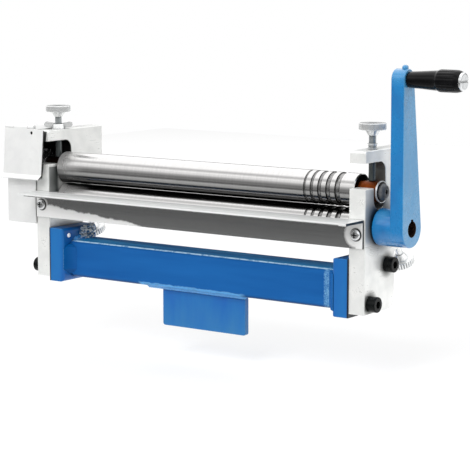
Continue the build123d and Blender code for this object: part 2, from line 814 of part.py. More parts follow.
# Crank: a cast arm with a hub on the lower roll's end, leaning a little forwards at rest.
crank_hub_diameter = 30.6
crank_pin_boss_radius = 8.6
crank_edge_radius = 1.2
handle_shank_diameter = 8.0
set_screw_diameter = 5.0
set_screw_length = 6.0
set_screw_socket_size = 2.5
lean_forward = math.radians(crank_lean)
handle_y = axis_y - crank_radius * math.sin(lean_forward)
handle_z = lower_axis_z + crank_radius * math.cos(lean_forward)
set_screw_x = crank_start_x + crank_hub_length / 2
lock_screw_diameter = 3.0
lock_head_diameter = 5.2
lock_head_height = 3.6
lock_head_edge_radius = 2.1
lock_spot_depth = 0.6
lock_screw_inset = 3.4
arm_up = Vector(0, -math.sin(lean_forward), math.cos(lean_forward))
lock_seat = Plane(
    origin=Vector(crank_face_x - lock_screw_inset, handle_y, handle_z)
    + arm_up * (crank_pin_boss_radius - lock_spot_depth),
    x_dir=(1, 0, 0),
    z_dir=arm_up,
)
set_screw_seat = Plane(
    origin=(set_screw_x, axis_y + crank_hub_diameter / 2, lower_axis_z),
    x_dir=(1, 0, 0),
    z_dir=(0, 1, 0),
)

with BuildPart() as crank_arm:
    with BuildSketch(Plane.YZ.offset(crank_arm_x)):
        with Locations((axis_y, lower_axis_z)):
            Circle(crank_hub_diameter / 2)
        with Locations((handle_y, handle_z)):
            Circle(crank_pin_boss_radius)
        make_hull()
    extrude(amount=crank_arm_thickness)
    fillet(faces().filter_by(Axis.X).edges(), crank_edge_radius)
    hub_end_x = crank_arm_x + crank_edge_radius
    bar_along_x(crank_start_x, hub_end_x, crank_hub_diameter / 2, axis_y, lower_axis_z)
    fillet(faces().sort_by(Axis.X)[0].edges(), crank_edge_radius)
    shaft_bore = journal_radius + seat_clearance
    bar_along_x(crank_start_x, crank_face_x, shaft_bore, axis_y, lower_axis_z, mode=Mode.SUBTRACT)
    block(
        (crank_start_x, axis_y - key_width / 2, lower_axis_z),
        (crank_face_x, axis_y + key_width / 2, lower_axis_z + journal_radius + key_depth_in_hub),
        mode=Mode.SUBTRACT,
    )
    spindle_hole = handle_shank_diameter / 2 + seat_clearance
    bar_along_x(crank_arm_x, crank_face_x, spindle_hole, handle_y, handle_z, mode=Mode.SUBTRACT)
    hole_radius = set_screw_diameter / 2 + seat_clearance
    bar_along_plane(set_screw_seat, -crank_hub_diameter / 2, hole_radius, mode=Mode.SUBTRACT)
    # A spot face and a hole in the arm's end, for the screw that locks the spindle.
    spot_radius = lock_head_diameter / 2 + seat_clearance
    bar_along_plane(lock_seat, overrun, spot_radius, mode=Mode.SUBTRACT)
    lock_hole_radius = lock_screw_diameter / 2 + seat_clearance
    bar_along_plane(lock_seat, -crank_pin_boss_radius, lock_hole_radius, mode=Mode.SUBTRACT)
finish(crank_arm, "crank_arm")

with BuildPart() as spindle_lock_screw:
    bar_along_plane(lock_seat, lock_head_height, lock_head_diameter / 2)
    dome_edge = edges().filter_by(GeomType.CIRCLE).sort_by(Axis(lock_seat.origin, lock_seat.z_dir))[-1]
    fillet(dome_edge, lock_head_edge_radius)
    shank_length = crank_pin_boss_radius - lock_spot_depth - handle_shank_diameter / 2 - seat_clearance
    bar_along_plane(lock_seat, -shank_length, lock_screw_diameter / 2)
finish(spindle_lock_screw, "spindle_lock_screw")

with BuildPart() as crank_set_screw:
    screw_end = set_screw_seat.offset(journal_radius + seat_clearance - crank_hub_diameter / 2)
    bar_along_plane(screw_end, set_screw_length, set_screw_diameter / 2)
    with BuildSketch(screw_end.offset(set_screw_length)):
        RegularPolygon(set_screw_socket_size / 2, 6, major_radius=False)
    extrude(amount=-set_screw_length / 2, mode=Mode.SUBTRACT)
finish(crank_set_screw, "crank_set_screw")

# Handle: a black grip that turns on a shouldered spindle with a bright slotted head.
grip_length = 46.7
grip_gap = 0.3
grip_start_radius = 6.4
grip_waist_radius = 8.0
grip_belly_radius = 9.0
grip_end_radius = 7.5
grip_shares = [0.0, 0.56, 0.6, 0.92, 1.0]
spindle_head_diameter = 14.4
spindle_head_height = 2.0
spindle_head_edge_radius = 1.4
spindle_slot_width = 1.6
spindle_slot_depth = 1.0
grip_start_x = crank_face_x + grip_gap
grip_end_x = grip_start_x + grip_length
head_start_x = grip_end_x + grip_gap

with BuildPart() as handle_grip:
    places = [grip_start_x + grip_length * share for share in grip_shares]
    bore = handle_shank_diameter / 2 + running_clearance
    with BuildSketch(Plane.XZ.offset(-handle_y)):
        with BuildLine():
            Polyline(
                (places[0], handle_z + bore),
                (places[0], handle_z + grip_start_radius),
                (places[1], handle_z + grip_waist_radius),
                (places[2], handle_z + grip_belly_radius),
                (places[3], handle_z + grip_belly_radius),
                (places[4], handle_z + grip_end_radius),
                (places[4], handle_z + bore),
                close=True,
            )
        make_face()
    revolve(axis=Axis((0, handle_y, handle_z), (1, 0, 0)))
finish(handle_grip, "handle_grip")

with BuildPart() as handle_spindle:
    bar_along_x(crank_arm_x, head_start_x, handle_shank_diameter / 2, handle_y, handle_z)
    head_end_x = head_start_x + spindle_head_height
    bar_along_x(head_start_x, head_end_x, spindle_head_diameter / 2, handle_y, handle_z)
    fillet(edges().filter_by(GeomType.CIRCLE).sort_by(Axis.X)[-1], spindle_head_edge_radius)
    slot_start_x = head_end_x - spindle_slot_depth
    half_slot = spindle_slot_width / 2
    block(
        (slot_start_x, handle_y - spindle_head_diameter, handle_z - half_slot),
        (head_end_x + overrun, handle_y + spindle_head_diameter, handle_z + half_slot),
        mode=Mode.SUBTRACT,
    )
finish(handle_spindle, "handle_spindle")

# Gear cover: a folded sheet box on the left plate, open in front of the gears.
cover_width = 33.5
cover_floor_gap = 6.95
cover_top_rise = 0.6
cover_front_reach = 2.0
cover_window_rise = 20.5
cover_flange_depth = 12.0
cover_hole_clearance = 0.2
cover_outer_x = outer_x + cover_width
cover_front_y = front_y - cover_front_reach
cover_low_z = lower_axis_z - gear_tip_radius - cover_floor_gap
cover_top_z = foot_z + plate_height + cover_top_rise
window_z = lower_axis_z + cover_window_rise

# The flap hangs from a pin along the cover's top front edge and closes the window.
hinge_pin_diameter = 2.0
knuckle_diameter = 4.6
knuckle_gap = 0.3
flap_sheet = 1.2
flap_overlap = 12.5
flap_fold_rise = 1.7
flap_tilt = 5.0
flap_lip_length = 5.5
flap_lip_flare = 50.0
flap_knuckle_start_share = 0.3
flap_knuckle_end_share = 0.8
flap_hole_diameter = 3.0
flap_hole_inset = 14.0
flap_hole_drop = 4.6
flap_outer_x = -cover_outer_x
flap_inner_x = flap_overlap - outer_x
knuckle_low_x = flap_outer_x + cover_width * flap_knuckle_start_share
knuckle_high_x = flap_outer_x + cover_width * flap_knuckle_end_share
hinge_y = cover_front_y
hinge_z = cover_top_z + knuckle_diameter / 2 - cover_sheet / 2

with BuildPart() as gear_cover:
    block(
        (-cover_outer_x, cover_front_y, cover_low_z),
        (-outer_x, front_y + cover_back_depth, cover_top_z),
    )
    offset(amount=-cover_sheet, openings=faces().sort_by(Axis.X)[-1])
    # The window in front of the top gear lets the top roll come out forwards.
    block(
        (-cover_outer_x - overrun, cover_front_y - overrun, window_z),
        (-outer_x + overrun, cover_front_y + cover_sheet, cover_top_z - cover_sheet),
        mode=Mode.SUBTRACT,
    )
    # A flange behind the box lies on the plate and takes the two cover screws.
    flange_y = front_y + cover_back_depth - cover_sheet
    block(
        (-outer_x - cover_sheet, flange_y, foot_z + cover_flange_foot),
        (-outer_x, flange_y + cover_flange_depth, cover_top_z - cover_sheet),
    )
    for height in cover_screw_heights:
        seat = x_seat(-1, outer_x, front_y + cover_screw_setback, foot_z + height)
        hole_radius = cover_screw_diameter / 2 + cover_hole_clearance
        bar_along_plane(seat, cover_sheet, hole_radius, mode=Mode.SUBTRACT)
    # Hinge knuckles at both ends of the top front edge, with a notch between them for the flap's.
    gap_low_x = knuckle_low_x - knuckle_gap
    gap_high_x = knuckle_high_x + knuckle_gap
    clear_radius = knuckle_diameter / 2 + knuckle_gap
    bar_along_x(gap_low_x, gap_high_x, clear_radius, hinge_y, hinge_z, mode=Mode.SUBTRACT)
    for start_x, end_x in ((-cover_outer_x, gap_low_x), (gap_high_x, -outer_x)):
        bar_along_x(start_x, end_x, knuckle_diameter / 2, hinge_y, hinge_z)
    pin_hole = hinge_pin_diameter / 2 + seat_clearance
    bar_along_x(-cover_outer_x, -outer_x, pin_hole, hinge_y, hinge_z, mode=Mode.SUBTRACT)
finish(gear_cover, "gear_cover")

with BuildPart() as gear_cover_flap:
    tilt = math.radians(flap_tilt)
    flare = math.radians(flap_tilt + flap_lip_flare)
    top_y = hinge_y - knuckle_diameter / 2 + flap_sheet / 2
    fold_z = window_z + flap_fold_rise
    fold_y = top_y - (hinge_z - fold_z) * math.tan(tilt)
    lip_y = fold_y - flap_lip_length * math.sin(flare)
    lip_z = fold_z - flap_lip_length * math.cos(flare)
    with BuildSketch(Plane.YZ.offset(flap_outer_x)):
        with BuildLine() as bends:
            Polyline((top_y, hinge_z), (fold_y, fold_z), (lip_y, lip_z))
        trace(bends.line, flap_sheet)
    extrude(amount=flap_inner_x - flap_outer_x)
    # Clear the fixed knuckles and wrap the flap's own knuckle round the pin.
    left_end = (flap_outer_x - overrun, knuckle_low_x)
    right_end = (knuckle_high_x, flap_inner_x + overrun)
    for start_x, end_x in (left_end, right_end):
        bar_along_x(start_x, end_x, clear_radius, hinge_y, hinge_z, mode=Mode.SUBTRACT)
    bar_along_x(knuckle_low_x, knuckle_high_x, knuckle_diameter / 2, hinge_y, hinge_z)
    pin_bore = hinge_pin_diameter / 2 + running_clearance
    bar_along_x(knuckle_low_x, knuckle_high_x, pin_bore, hinge_y, hinge_z, mode=Mode.SUBTRACT)
    with BuildSketch(Plane.XZ.offset(-hinge_y)):
        with Locations((flap_inner_x - flap_hole_inset, hinge_z - flap_hole_drop)):
            Circle(flap_hole_diameter / 2)
    extrude(amount=knuckle_diameter, both=True, mode=Mode.SUBTRACT)
finish(gear_cover_flap, "gear_cover_flap")

with BuildPart() as flap_hinge_pin:
    bar_along_x(-cover_outer_x, -outer_x, hinge_pin_diameter / 2, hinge_y, hinge_z)
finish(flap_hinge_pin, "flap_hinge_pin")

with BuildPart() as gear_cover_screws:
    for height in cover_screw_heights:
        seat = x_seat(-1, outer_x + cover_sheet, front_y + cover_screw_setback, foot_z + height)
        shank_length = cover_screw_reach + cover_sheet
        pan_screw(seat, cover_head_diameter, cover_head_height, cover_screw_diameter, shank_length)
finish(gear_cover_screws, "gear_cover_screws")
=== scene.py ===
"""Looks of a bench slip roll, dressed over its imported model, in metres and in the model's own frame."""

import math
import random

import bmesh
import bpy
from mathutils import Matrix, Vector


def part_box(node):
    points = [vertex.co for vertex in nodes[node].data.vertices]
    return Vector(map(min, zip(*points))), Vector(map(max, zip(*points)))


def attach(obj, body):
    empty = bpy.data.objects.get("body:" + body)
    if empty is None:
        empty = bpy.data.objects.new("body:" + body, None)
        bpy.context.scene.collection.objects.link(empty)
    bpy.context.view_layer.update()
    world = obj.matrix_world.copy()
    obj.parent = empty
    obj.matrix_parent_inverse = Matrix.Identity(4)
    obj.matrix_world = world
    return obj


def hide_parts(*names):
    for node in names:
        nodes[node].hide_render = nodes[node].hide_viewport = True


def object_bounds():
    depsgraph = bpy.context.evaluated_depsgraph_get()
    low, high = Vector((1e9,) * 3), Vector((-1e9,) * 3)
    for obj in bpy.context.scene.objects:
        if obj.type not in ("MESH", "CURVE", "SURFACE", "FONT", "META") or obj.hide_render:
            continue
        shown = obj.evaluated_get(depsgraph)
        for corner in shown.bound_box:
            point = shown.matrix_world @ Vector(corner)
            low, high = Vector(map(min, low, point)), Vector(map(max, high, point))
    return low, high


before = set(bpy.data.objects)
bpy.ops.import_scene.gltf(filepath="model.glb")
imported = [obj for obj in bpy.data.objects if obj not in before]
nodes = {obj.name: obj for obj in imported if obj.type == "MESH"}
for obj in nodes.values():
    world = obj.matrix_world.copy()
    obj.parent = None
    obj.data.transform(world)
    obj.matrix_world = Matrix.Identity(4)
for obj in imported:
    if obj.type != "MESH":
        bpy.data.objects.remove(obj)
cad_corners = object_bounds()

# Side plates. Two thick aluminium plates carry everything: sawn, milled and left bare, so they are
# pale and satin, with fine cutter lines along their faces, thin bright bevels and a few handling marks.


class Wire:
    """A socket of a finish's nodes. Arithmetic on it adds Math nodes, and node() adds any other."""

    def __init__(self, tree, socket=None):
        self.tree = tree
        self.socket = socket

    def node(self, kind, settings=None, sockets=None, output=0):
        """Add a node: its settings first, then the values or links of its sockets."""
        added = self.tree.nodes.new(kind)
        for name, value in (settings or {}).items():
            if name == "stops":
                stops = added.color_ramp.elements
                stops.remove(stops[1])
                stops[0].position = value[0][0]
                stops[0].color = (*[value[0][1]] * 3, 1)
                for place, level in value[1:]:
                    stops.new(place).color = (level, level, level, 1)
            else:
                setattr(added, name, value)
        for name, value in (sockets or {}).items():
            if isinstance(value, Wire):
                self.tree.links.new(value.socket, added.inputs[name])
            else:
                added.inputs[name].default_value = value
        return Wire(self.tree, added.outputs[output]) if added.outputs else None

    def math(self, operation, first, second=0.0):
        """Add a Math node on one value or two."""
        return self.node("ShaderNodeMath", {"operation": operation}, {0: first, 1: second})

    def vector(self, operation, first, second=(0, 0, 0), output="Vector"):
        """Add a Vector Math node on one vector or two."""
        sockets = {0: first, 1: second}
        return self.node("ShaderNodeVectorMath", {"operation": operation}, sockets, output)

    def part(self, axis):
        """The part of this vector along an axis."""
        return self.node("ShaderNodeSeparateXYZ", {}, {"Vector": self}, axis)

    def __add__(self, other):
        return self.math("ADD", self, other)

    def __mul__(self, other):
        return self.math("MULTIPLY", self, other)

    def __sub__(self, other):
        return self.math("SUBTRACT", self, other)

    def __rsub__(self, other):
        return self.math("SUBTRACT", other, self)

    def __abs__(self):
        return self.math("ABSOLUTE", self)

    __radd__ = __add__
    __rmul__ = __mul__


def new_finish(name):
    """A bare material and the wire on which its nodes are strung."""
    material = bpy.data.materials.new(name)
    material.use_nodes = True
    material.node_tree.nodes.clear()
    return material, Wire(material.node_tree)


def close_finish(wire, sockets):
    """End a finish in its shader, whose constant sockets are set directly."""
    shader = wire.node("ShaderNodeBsdfPrincipled", {}, sockets)
    wire.node("ShaderNodeOutputMaterial", {}, {"Surface": shader})


def surface_point(wire):
    """Where a point of the surface is, as a vector in metres."""
    return wire.node("ShaderNodeTexCoord", output="Object")


def place_along(wire, axis):
    """Where a point of the surface is along an axis, in metres."""
    return surface_point(wire).part(axis)


def grain(wire, size, stretch=(1, 1, 1), detail=3.0):
    """Noise from 0 to 1 in spots of one size in metres, drawn out along an axis by a small stretch."""
    scale = [part / size for part in stretch]
    drawn = wire.node("ShaderNodeMapping", {}, {"Vector": surface_point(wire), "Scale": scale})
    return wire.node("ShaderNodeTexNoise", {}, {"Vector": drawn, "Scale": 1.0, "Detail": detail})


def spread(value, low, high, start=0.0, end=1.0):
    """A value's run from low to high spread from start to end, and held there outside it."""
    sockets = {"Value": value, "From Min": low, "From Max": high, "To Min": start, "To Max": end}
    return value.node("ShaderNodeMapRange", {}, sockets)


def between(share, first, second):
    """A colour between two colours, by a share from 0 to 1."""
    sockets = {0: share, 6: first, 7: second}
    return share.node("ShaderNodeMix", {"data_type": "RGBA"}, sockets, output=2)


def either(first, second):
    """The higher of two values or masks."""
    return first.math("MAXIMUM", first, second)


def soft_edge(wire, radius):
    """Normals that round a sharp edge over a radius, and a mask that is 1 along such edges."""
    rounded = wire.node("ShaderNodeBevel", {"samples": 6}, {"Radius": radius})
    flat = wire.node("ShaderNodeNewGeometry", output="Normal")
    turn = wire.vector("DOT_PRODUCT", rounded, flat, "Value")
    return rounded, spread(1 - turn, 0.02, 0.2)


def relief(height, depth, normal):
    """Normals pressed by a height from 0 to 1 that stands for a depth in metres."""
    sockets = {"Height": height, "Distance": depth, "Normal": normal}
    return height.node("ShaderNodeBump", {}, sockets)


def near(wire, point, reach, blur):
    """A mask that is 1 within a reach of a point and fades over a blur."""
    away = wire.vector("DISTANCE", surface_point(wire), point, "Value")
    return 1 - spread(away, reach - blur, reach + blur)


def inside(wire, low, high, blur=0.0003):
    """A mask that is 1 inside a box between two corners and fades over a blur."""
    middle = [(a + b) / 2 for a, b in zip(low, high)]
    half = [(b - a) / 2 for a, b in zip(low, high)]
    apart = wire.vector("ABSOLUTE", wire.vector("SUBTRACT", surface_point(wire), middle))
    outside = wire.vector("SUBTRACT", apart, half)
    x, y, z = [outside.part(axis) for axis in "XYZ"]
    return 1 - spread(either(either(x, y), z), -blur, blur)


def facing(wire, axis):
    """How far a surface faces along an axis, from -1 to 1."""
    return wire.node("ShaderNodeNewGeometry", output="Normal").part(axis)


def occlusion_shade(wire, reach, low=0.25, high=0.8):
    """A mask of painted shade that is 1 deep in corners, recesses and narrow gaps, where little is open.
    """
    open_share = wire.node("ShaderNodeAmbientOcclusion", {"samples": 8}, {"Distance": reach}, "AO")
    return 1 - spread(open_share, low, high)


def dress(names, material):
    """Give CAD nodes a material, in the slots that they have."""
    for name in names:
        for place in nodes[name].material_slots:
            place.material = material


plate_pale = (0.88, 0.885, 0.865, 1)
plate_worn = (0.76, 0.77, 0.755, 1)
plate_bright = (0.95, 0.955, 0.94, 1)
plate_shade_dark = (0.10, 0.105, 0.10, 1)
mouth_shade_grey = (0.17, 0.165, 0.15, 1)
shadow_black = (0.006, 0.006, 0.006, 1)
hub_shade = (0.010, 0.028, 0.050, 1)
roll_shade = (0.022, 0.032, 0.031, 1)
plate_low, plate_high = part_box("right_side_plate")
key_low, key_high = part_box("crank_key")
angle_low, angle_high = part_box("feed_angle")
caps_low, caps_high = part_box("frame_cap_screws")
flap_low, flap_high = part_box("gear_cover_flap")
journal_radius = 0.0065
key_sunk = 0.0024
shaft_y = (key_low[1] + key_high[1]) / 2
shaft_z = key_low[2] + key_sunk - journal_radius
past_plates = 0.2
lip_depth, mouth_depth = 0.004, 0.0320
bridge_height, seat_drop, mouth_drop = 0.0094, 0.0330, 0.0490
mouth_low = (-past_plates, plate_low[1] + lip_depth, plate_high[2] - mouth_drop)
mouth_high = (past_plates, plate_low[1] + mouth_depth, plate_high[2] - bridge_height)
seat_z = plate_high[2] - seat_drop
face_near, face_on = 0.0004, 0.0001
roll_shade_depth, roll_shade_full, roll_shade_fade, roll_shade_below = 0.014, 0.012, 0.003, 0.001
hub_rise, hub_reach, hub_blur = 0.005, 0.0228, 0.0096
cap_radius, cap_shadow_reach, cap_blur = 0.0065, 0.0030, 0.0026
line_reach, line_width = 0.0016, 0.0006
slant_drop, slant_top, slant_foot = 0.0060, 0.0008, 0.0072
milled_plate, wire = new_finish("milled_plate")
rounded, edge = soft_edge(wire, 0.0005)
clouds = grain(wire, 0.016, detail=5.0)
cutter = grain(wire, 0.0007, (1, 0.02, 1), 2.0)
specks = grain(wire, 0.0016, detail=1.0)
x, y, z = [place_along(wire, axis) for axis in "XYZ"]
pale = between(spread(clouds, 0.42, 0.72), plate_pale, plate_worn)
pale = between(spread(specks, 0.66, 0.76, 0, 0.3), pale, plate_worn)
pale = between(edge, pale, plate_bright)
# Painted shade darkens the plates in corners and gaps where other pieces stand close, but not on faces
# that face the front.
facing_front = spread(facing(wire, "Y"), -0.7, -0.9)
inner_face = spread(abs(x), plate_low[0] + face_near, plate_low[0] + face_on)
plate_corner_shade = occlusion_shade(wire, 0.0105, 0.42, 0.95) * (1 - facing_front) * (1 - inner_face * 0.75)
pale = between(plate_corner_shade * 0.88, pale, plate_shade_dark)
# Painted shade also darkens the narrowest gaps.
pale = between(occlusion_shade(wire, 0.0016) * 0.7, pale, plate_shade_dark)
# The cut faces of the mouth and slots are painted dark as painted shade, darkest on the gears' side.
sideways = abs(facing(wire, "X"))
cut_face = spread(sideways, 0.5, 0.3) * spread(facing(wire, "Z"), 0.8, 0.6)
gear_side = spread(x, 0.0, -0.01)
mouth_shade_share = inside(wire, mouth_low, mouth_high) * cut_face
pale = between(mouth_shade_share, pale, between(gear_side, mouth_shade_grey, shadow_black))
# Painted shade darkens the inner faces beside the rolls, and a painted shadow with a painted blue
# reflection of the crank's hub darkens the outer face round it.
beside_low = (-past_plates, plate_low[1] - lip_depth, angle_high[2] - roll_shade_below)
beside_rolls = inside(wire, beside_low, (past_plates, plate_high[1], seat_z))
roll_shade_share = inner_face * beside_rolls * spread(sideways, 0.5, 0.7)
roll_shade_share = roll_shade_share * spread(y, plate_low[1], plate_low[1] + roll_shade_full, 0.62, 0.96)
roll_shade_back = plate_low[1] + roll_shade_depth
roll_shade_share = roll_shade_share * spread(y, roll_shade_back, roll_shade_back - roll_shade_fade)
pale = between(roll_shade_share, pale, roll_shade)
outer_face = spread(x, plate_high[0] - face_near, plate_high[0] - face_on)
hub_centre = (plate_high[0], shaft_y, shaft_z + hub_rise)
around_hub = near(wire, hub_centre, hub_reach, hub_blur) * outer_face
pale = between(around_hub * 0.98, pale, hub_shade)
# Painted shadows darken the outer face round the heads of the four cap screws.
for corner, inwards in ((caps_low, 1), (caps_high, -1)):
    cap_centre = (plate_high[0], corner[1] + inwards * cap_radius, corner[2] + inwards * cap_radius)
    cap_shadow = near(wire, cap_centre, cap_radius + cap_shadow_reach, cap_blur) * outer_face
    pale = between(cap_shadow * 0.85, pale, plate_shade_dark)
# A painted shadow of the flap lies in a dark line on the column's front, along the flap's slanted open
# edge.
edge_slant = spread(z, flap_high[2] - slant_drop, flap_low[2], slant_top, slant_foot)
line_end = flap_high[0] + line_reach
flap_shadow = spread(x + edge_slant, line_end, line_end - line_width)
flap_shadow = flap_shadow * spread(z, flap_low[2] - 0.001, flap_low[2] + 0.001)
pale = between(flap_shadow * facing_front * 0.92, pale, shadow_black)
close_finish(wire, {
    "Base Color": pale,
    "Metallic": 0.38 * (1 - around_hub),
    "Roughness": spread(clouds * 0.6 + cutter * 0.4, 0.3, 0.7, 0.24, 0.42),
    "Normal": relief(cutter * 0.7 + specks * 0.3, 0.000012, rounded),
})
dress(["left_side_plate", "right_side_plate"], milled_plate)

# Welded base. Two thick end plates, a rectangular tube and a tab for a vise, cut from flat and box
# steel, welded together and sprayed with one coat of semi-gloss blue enamel that thins on the edges.
enamel_thin = (0.10, 0.29, 0.55, 1)
enamel_light = (0.003, 0.128, 0.385, 1)
enamel_shade = (0.003, 0.024, 0.075, 1)
enamel_bare = (0.22, 0.47, 0.68, 1)
foot_pale = (0.022, 0.160, 0.375, 1)
foot_deep = (0.001, 0.095, 0.370, 1)
seam_shadow_black = (0.004, 0.006, 0.010, 1)
corner_highlight_blue = (0.50, 0.72, 0.88, 1)
beam_light = (0.011, 0.110, 0.350, 1)
beam_deep = (0.007, 0.082, 0.285, 1)
beam_top = (0.022, 0.270, 0.620, 1)
highlight_blue = (0.110, 0.370, 0.740, 1)


def spray_enamel(wire, colour, deep, thin, peel_depth, roughness, index, gloss=0.0, dents=0.0,
                 strokes=(1, 1, 1), bare_and_painted_light=None, bare_and_light_colour=None):
    """A sprayed coat: clouds of a deeper colour, orange peel, a thin, pale film on the edges, and painted
    shade in its corners.

    Gloss is a clear coat's share, dents are the skin of a casting, strokes draw the clouds out,
    and where the mask in the last but one argument is 1 the coat gives way to the colour in the
    last, which is bare metal, a painted shadow or a painted highlight.
    """
    rounded, edge = soft_edge(wire, 0.0009)
    clouds = grain(wire, 0.014, strokes, 5.0)
    peel = grain(wire, 0.0022, detail=2.0)
    chips = grain(wire, 0.0013, detail=4.0)
    film = between(spread(clouds, 0.35, 0.7), colour, deep)
    film = between(edge * spread(chips, 0.36, 0.6, 0.25, 1.0), film, thin)
    # Painted shade darkens the coat in its corners.
    film = between(occlusion_shade(wire, 0.004) * 0.7, film, enamel_shade)
    if bare_and_painted_light:
        film = between(bare_and_painted_light, film, bare_and_light_colour)
    skin = relief(peel * 0.7 + clouds * 0.3, peel_depth, rounded)
    if dents:
        skin = relief(grain(wire, 0.012, detail=1.0), dents, skin)
    close_finish(wire, {
        "Base Color": film,
        "Roughness": spread(clouds * 0.5 + peel * 0.5, 0.3, 0.7, roughness - 0.05, roughness + 0.07),
        "IOR": index,
        "Coat Weight": gloss,
        "Coat Roughness": 0.16,
        "Normal": skin,
    })


# Where the end plates are drawn against the aluminium, a dark seam is painted as the shadow of the joint.
seam_width = 0.0016
end_low, end_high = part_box("right_end_plate")
base_enamel, wire = new_finish("base_enamel")
across = abs(place_along(wire, "X"))
z = place_along(wire, "Z")
seam_shadow = spread(across, end_high[0] - seam_width, end_high[0] - seam_width / 2)
# The tab is painted darker under the tube, as painted shade, and lighter towards its foot, as painted
# light.
tab_low, tab_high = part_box("vise_tab")
runs = grain(wire, 0.010, (1, 1, 0.2), 4.0)
lit_towards_foot = spread(z + (runs - 0.5) * 0.016, tab_high[2], tab_low[2])
on_tab = spread(across, tab_high[0] + 0.002, tab_high[0] + 0.001)
coat = between(lit_towards_foot * on_tab, enamel_light, foot_pale)
tab_deep_coat = between(lit_towards_foot * on_tab, foot_deep, enamel_light)
spray_enamel(wire, coat, tab_deep_coat, enamel_thin, peel_depth=0.00008, roughness=0.34, index=1.45,
             strokes=(1, 1, 0.25), bare_and_painted_light=seam_shadow, bare_and_light_colour=seam_shadow_black)
dress(["left_end_plate", "right_end_plate", "vise_tab"], base_enamel)

# A speckled painted highlight runs along the tube's upper front corner, and the film is rubbed through
# in a rough strip where a torch spattered it beside the right joint.
beam_low, beam_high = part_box("beam_tube")
tube_corner = 0.0045
strip_near, strip_far = beam_high[0] - 0.0096, beam_high[0] - 0.0146
highlight_left, highlight_right = tab_low[0] - 0.022, tab_high[0] + 0.006
highlight_top = beam_low[2] + 0.0036
beam_enamel, wire = new_finish("beam_enamel")
x, y, z = [place_along(wire, axis) for axis in "XYZ"]
specks = grain(wire, 0.0012, detail=4.0)
blots = grain(wire, 0.005, detail=3.0)
corner_highlight = spread(facing(wire, "Z"), 0.76, 0.82) * spread(facing(wire, "Z"), 0.985, 0.965)
corner_highlight = corner_highlight * spread(y, beam_low[1] + 0.006, beam_low[1] + 0.005)
corner_highlight = corner_highlight * spread(specks * 0.4 + blots * 0.6, 0.38, 0.50, 0.35, 1.0)
strip = spread(x + (specks - 0.5) * 0.004, strip_far, strip_far + 0.0012)
strip = strip * spread(x, strip_near + 0.0008, strip_near) * spread(facing(wire, "Y"), -0.2, -0.6)
strip = strip * spread(specks * 0.6 + blots * 0.4, 0.42, 0.62, 0.15, 0.75)
# Over the tab a painted highlight lies along the lower corner.
lower_highlight = spread(x, highlight_left, highlight_left + 0.004) * spread(x, highlight_right, highlight_right - 0.008)
lower_highlight = lower_highlight * spread(z + (blots - 0.5) * 0.003, highlight_top, highlight_top - 0.001)
lower_highlight = lower_highlight * spread(specks * 0.3 + blots * 0.7, 0.30, 0.5, 0.5, 0.95)
bare_and_highlights = between(corner_highlight, enamel_bare, corner_highlight_blue)
bare_and_highlights = between(lower_highlight, bare_and_highlights, highlight_blue)
# Painted shade darkens the underside, and the top is painted a lighter blue and is rougher.
below = spread(facing(wire, "Z"), -0.3, -0.8)
on_top = spread(facing(wire, "Z"), 0.8, 0.98)
film_blue = between(below * 0.8, between(on_top, beam_light, beam_top), enamel_shade)
spray_enamel(wire, film_blue, beam_deep, enamel_thin, peel_depth=0.00005, roughness=0.34 + on_top * 0.3,
             index=1.14, strokes=(0.10, 1, 1), bare_and_painted_light=either(either(corner_highlight * 0.9, strip), lower_highlight),
             bare_and_light_colour=bare_and_highlights)
dress(["beam_tube"], beam_enamel)

# Weld beads. The steel was joined with a hand torch, so each bead is a row of overlapping ripples,
# lumpy and a little uneven, with spatter beside it, all sprayed over with the same enamel.
ripple_pitch = 0.0022
ripple_lean = 0.45
bead_station = 0.00035
bead_leg, front_leg, thin_leg = 0.0036, 0.0030, 0.0010
bead_root = 0.0004
bead_steps = 7
highest_crest = 1.12
tapered_end = 0.35
under_z = beam_low[2]
overshoot = 0.018
tab_inset = 0.002
spatter_off, spatter_across, spatter_along = 0.009, 0.005, 0.011
strip_off, strip_across, strip_along = 0.0006, 0.0016, 0.012
weld_blue = (0.008, 0.135, 0.42, 1)
weld_crest = (0.07, 0.27, 0.58, 1)
weld_flaked = (0.30, 0.46, 0.62, 1)


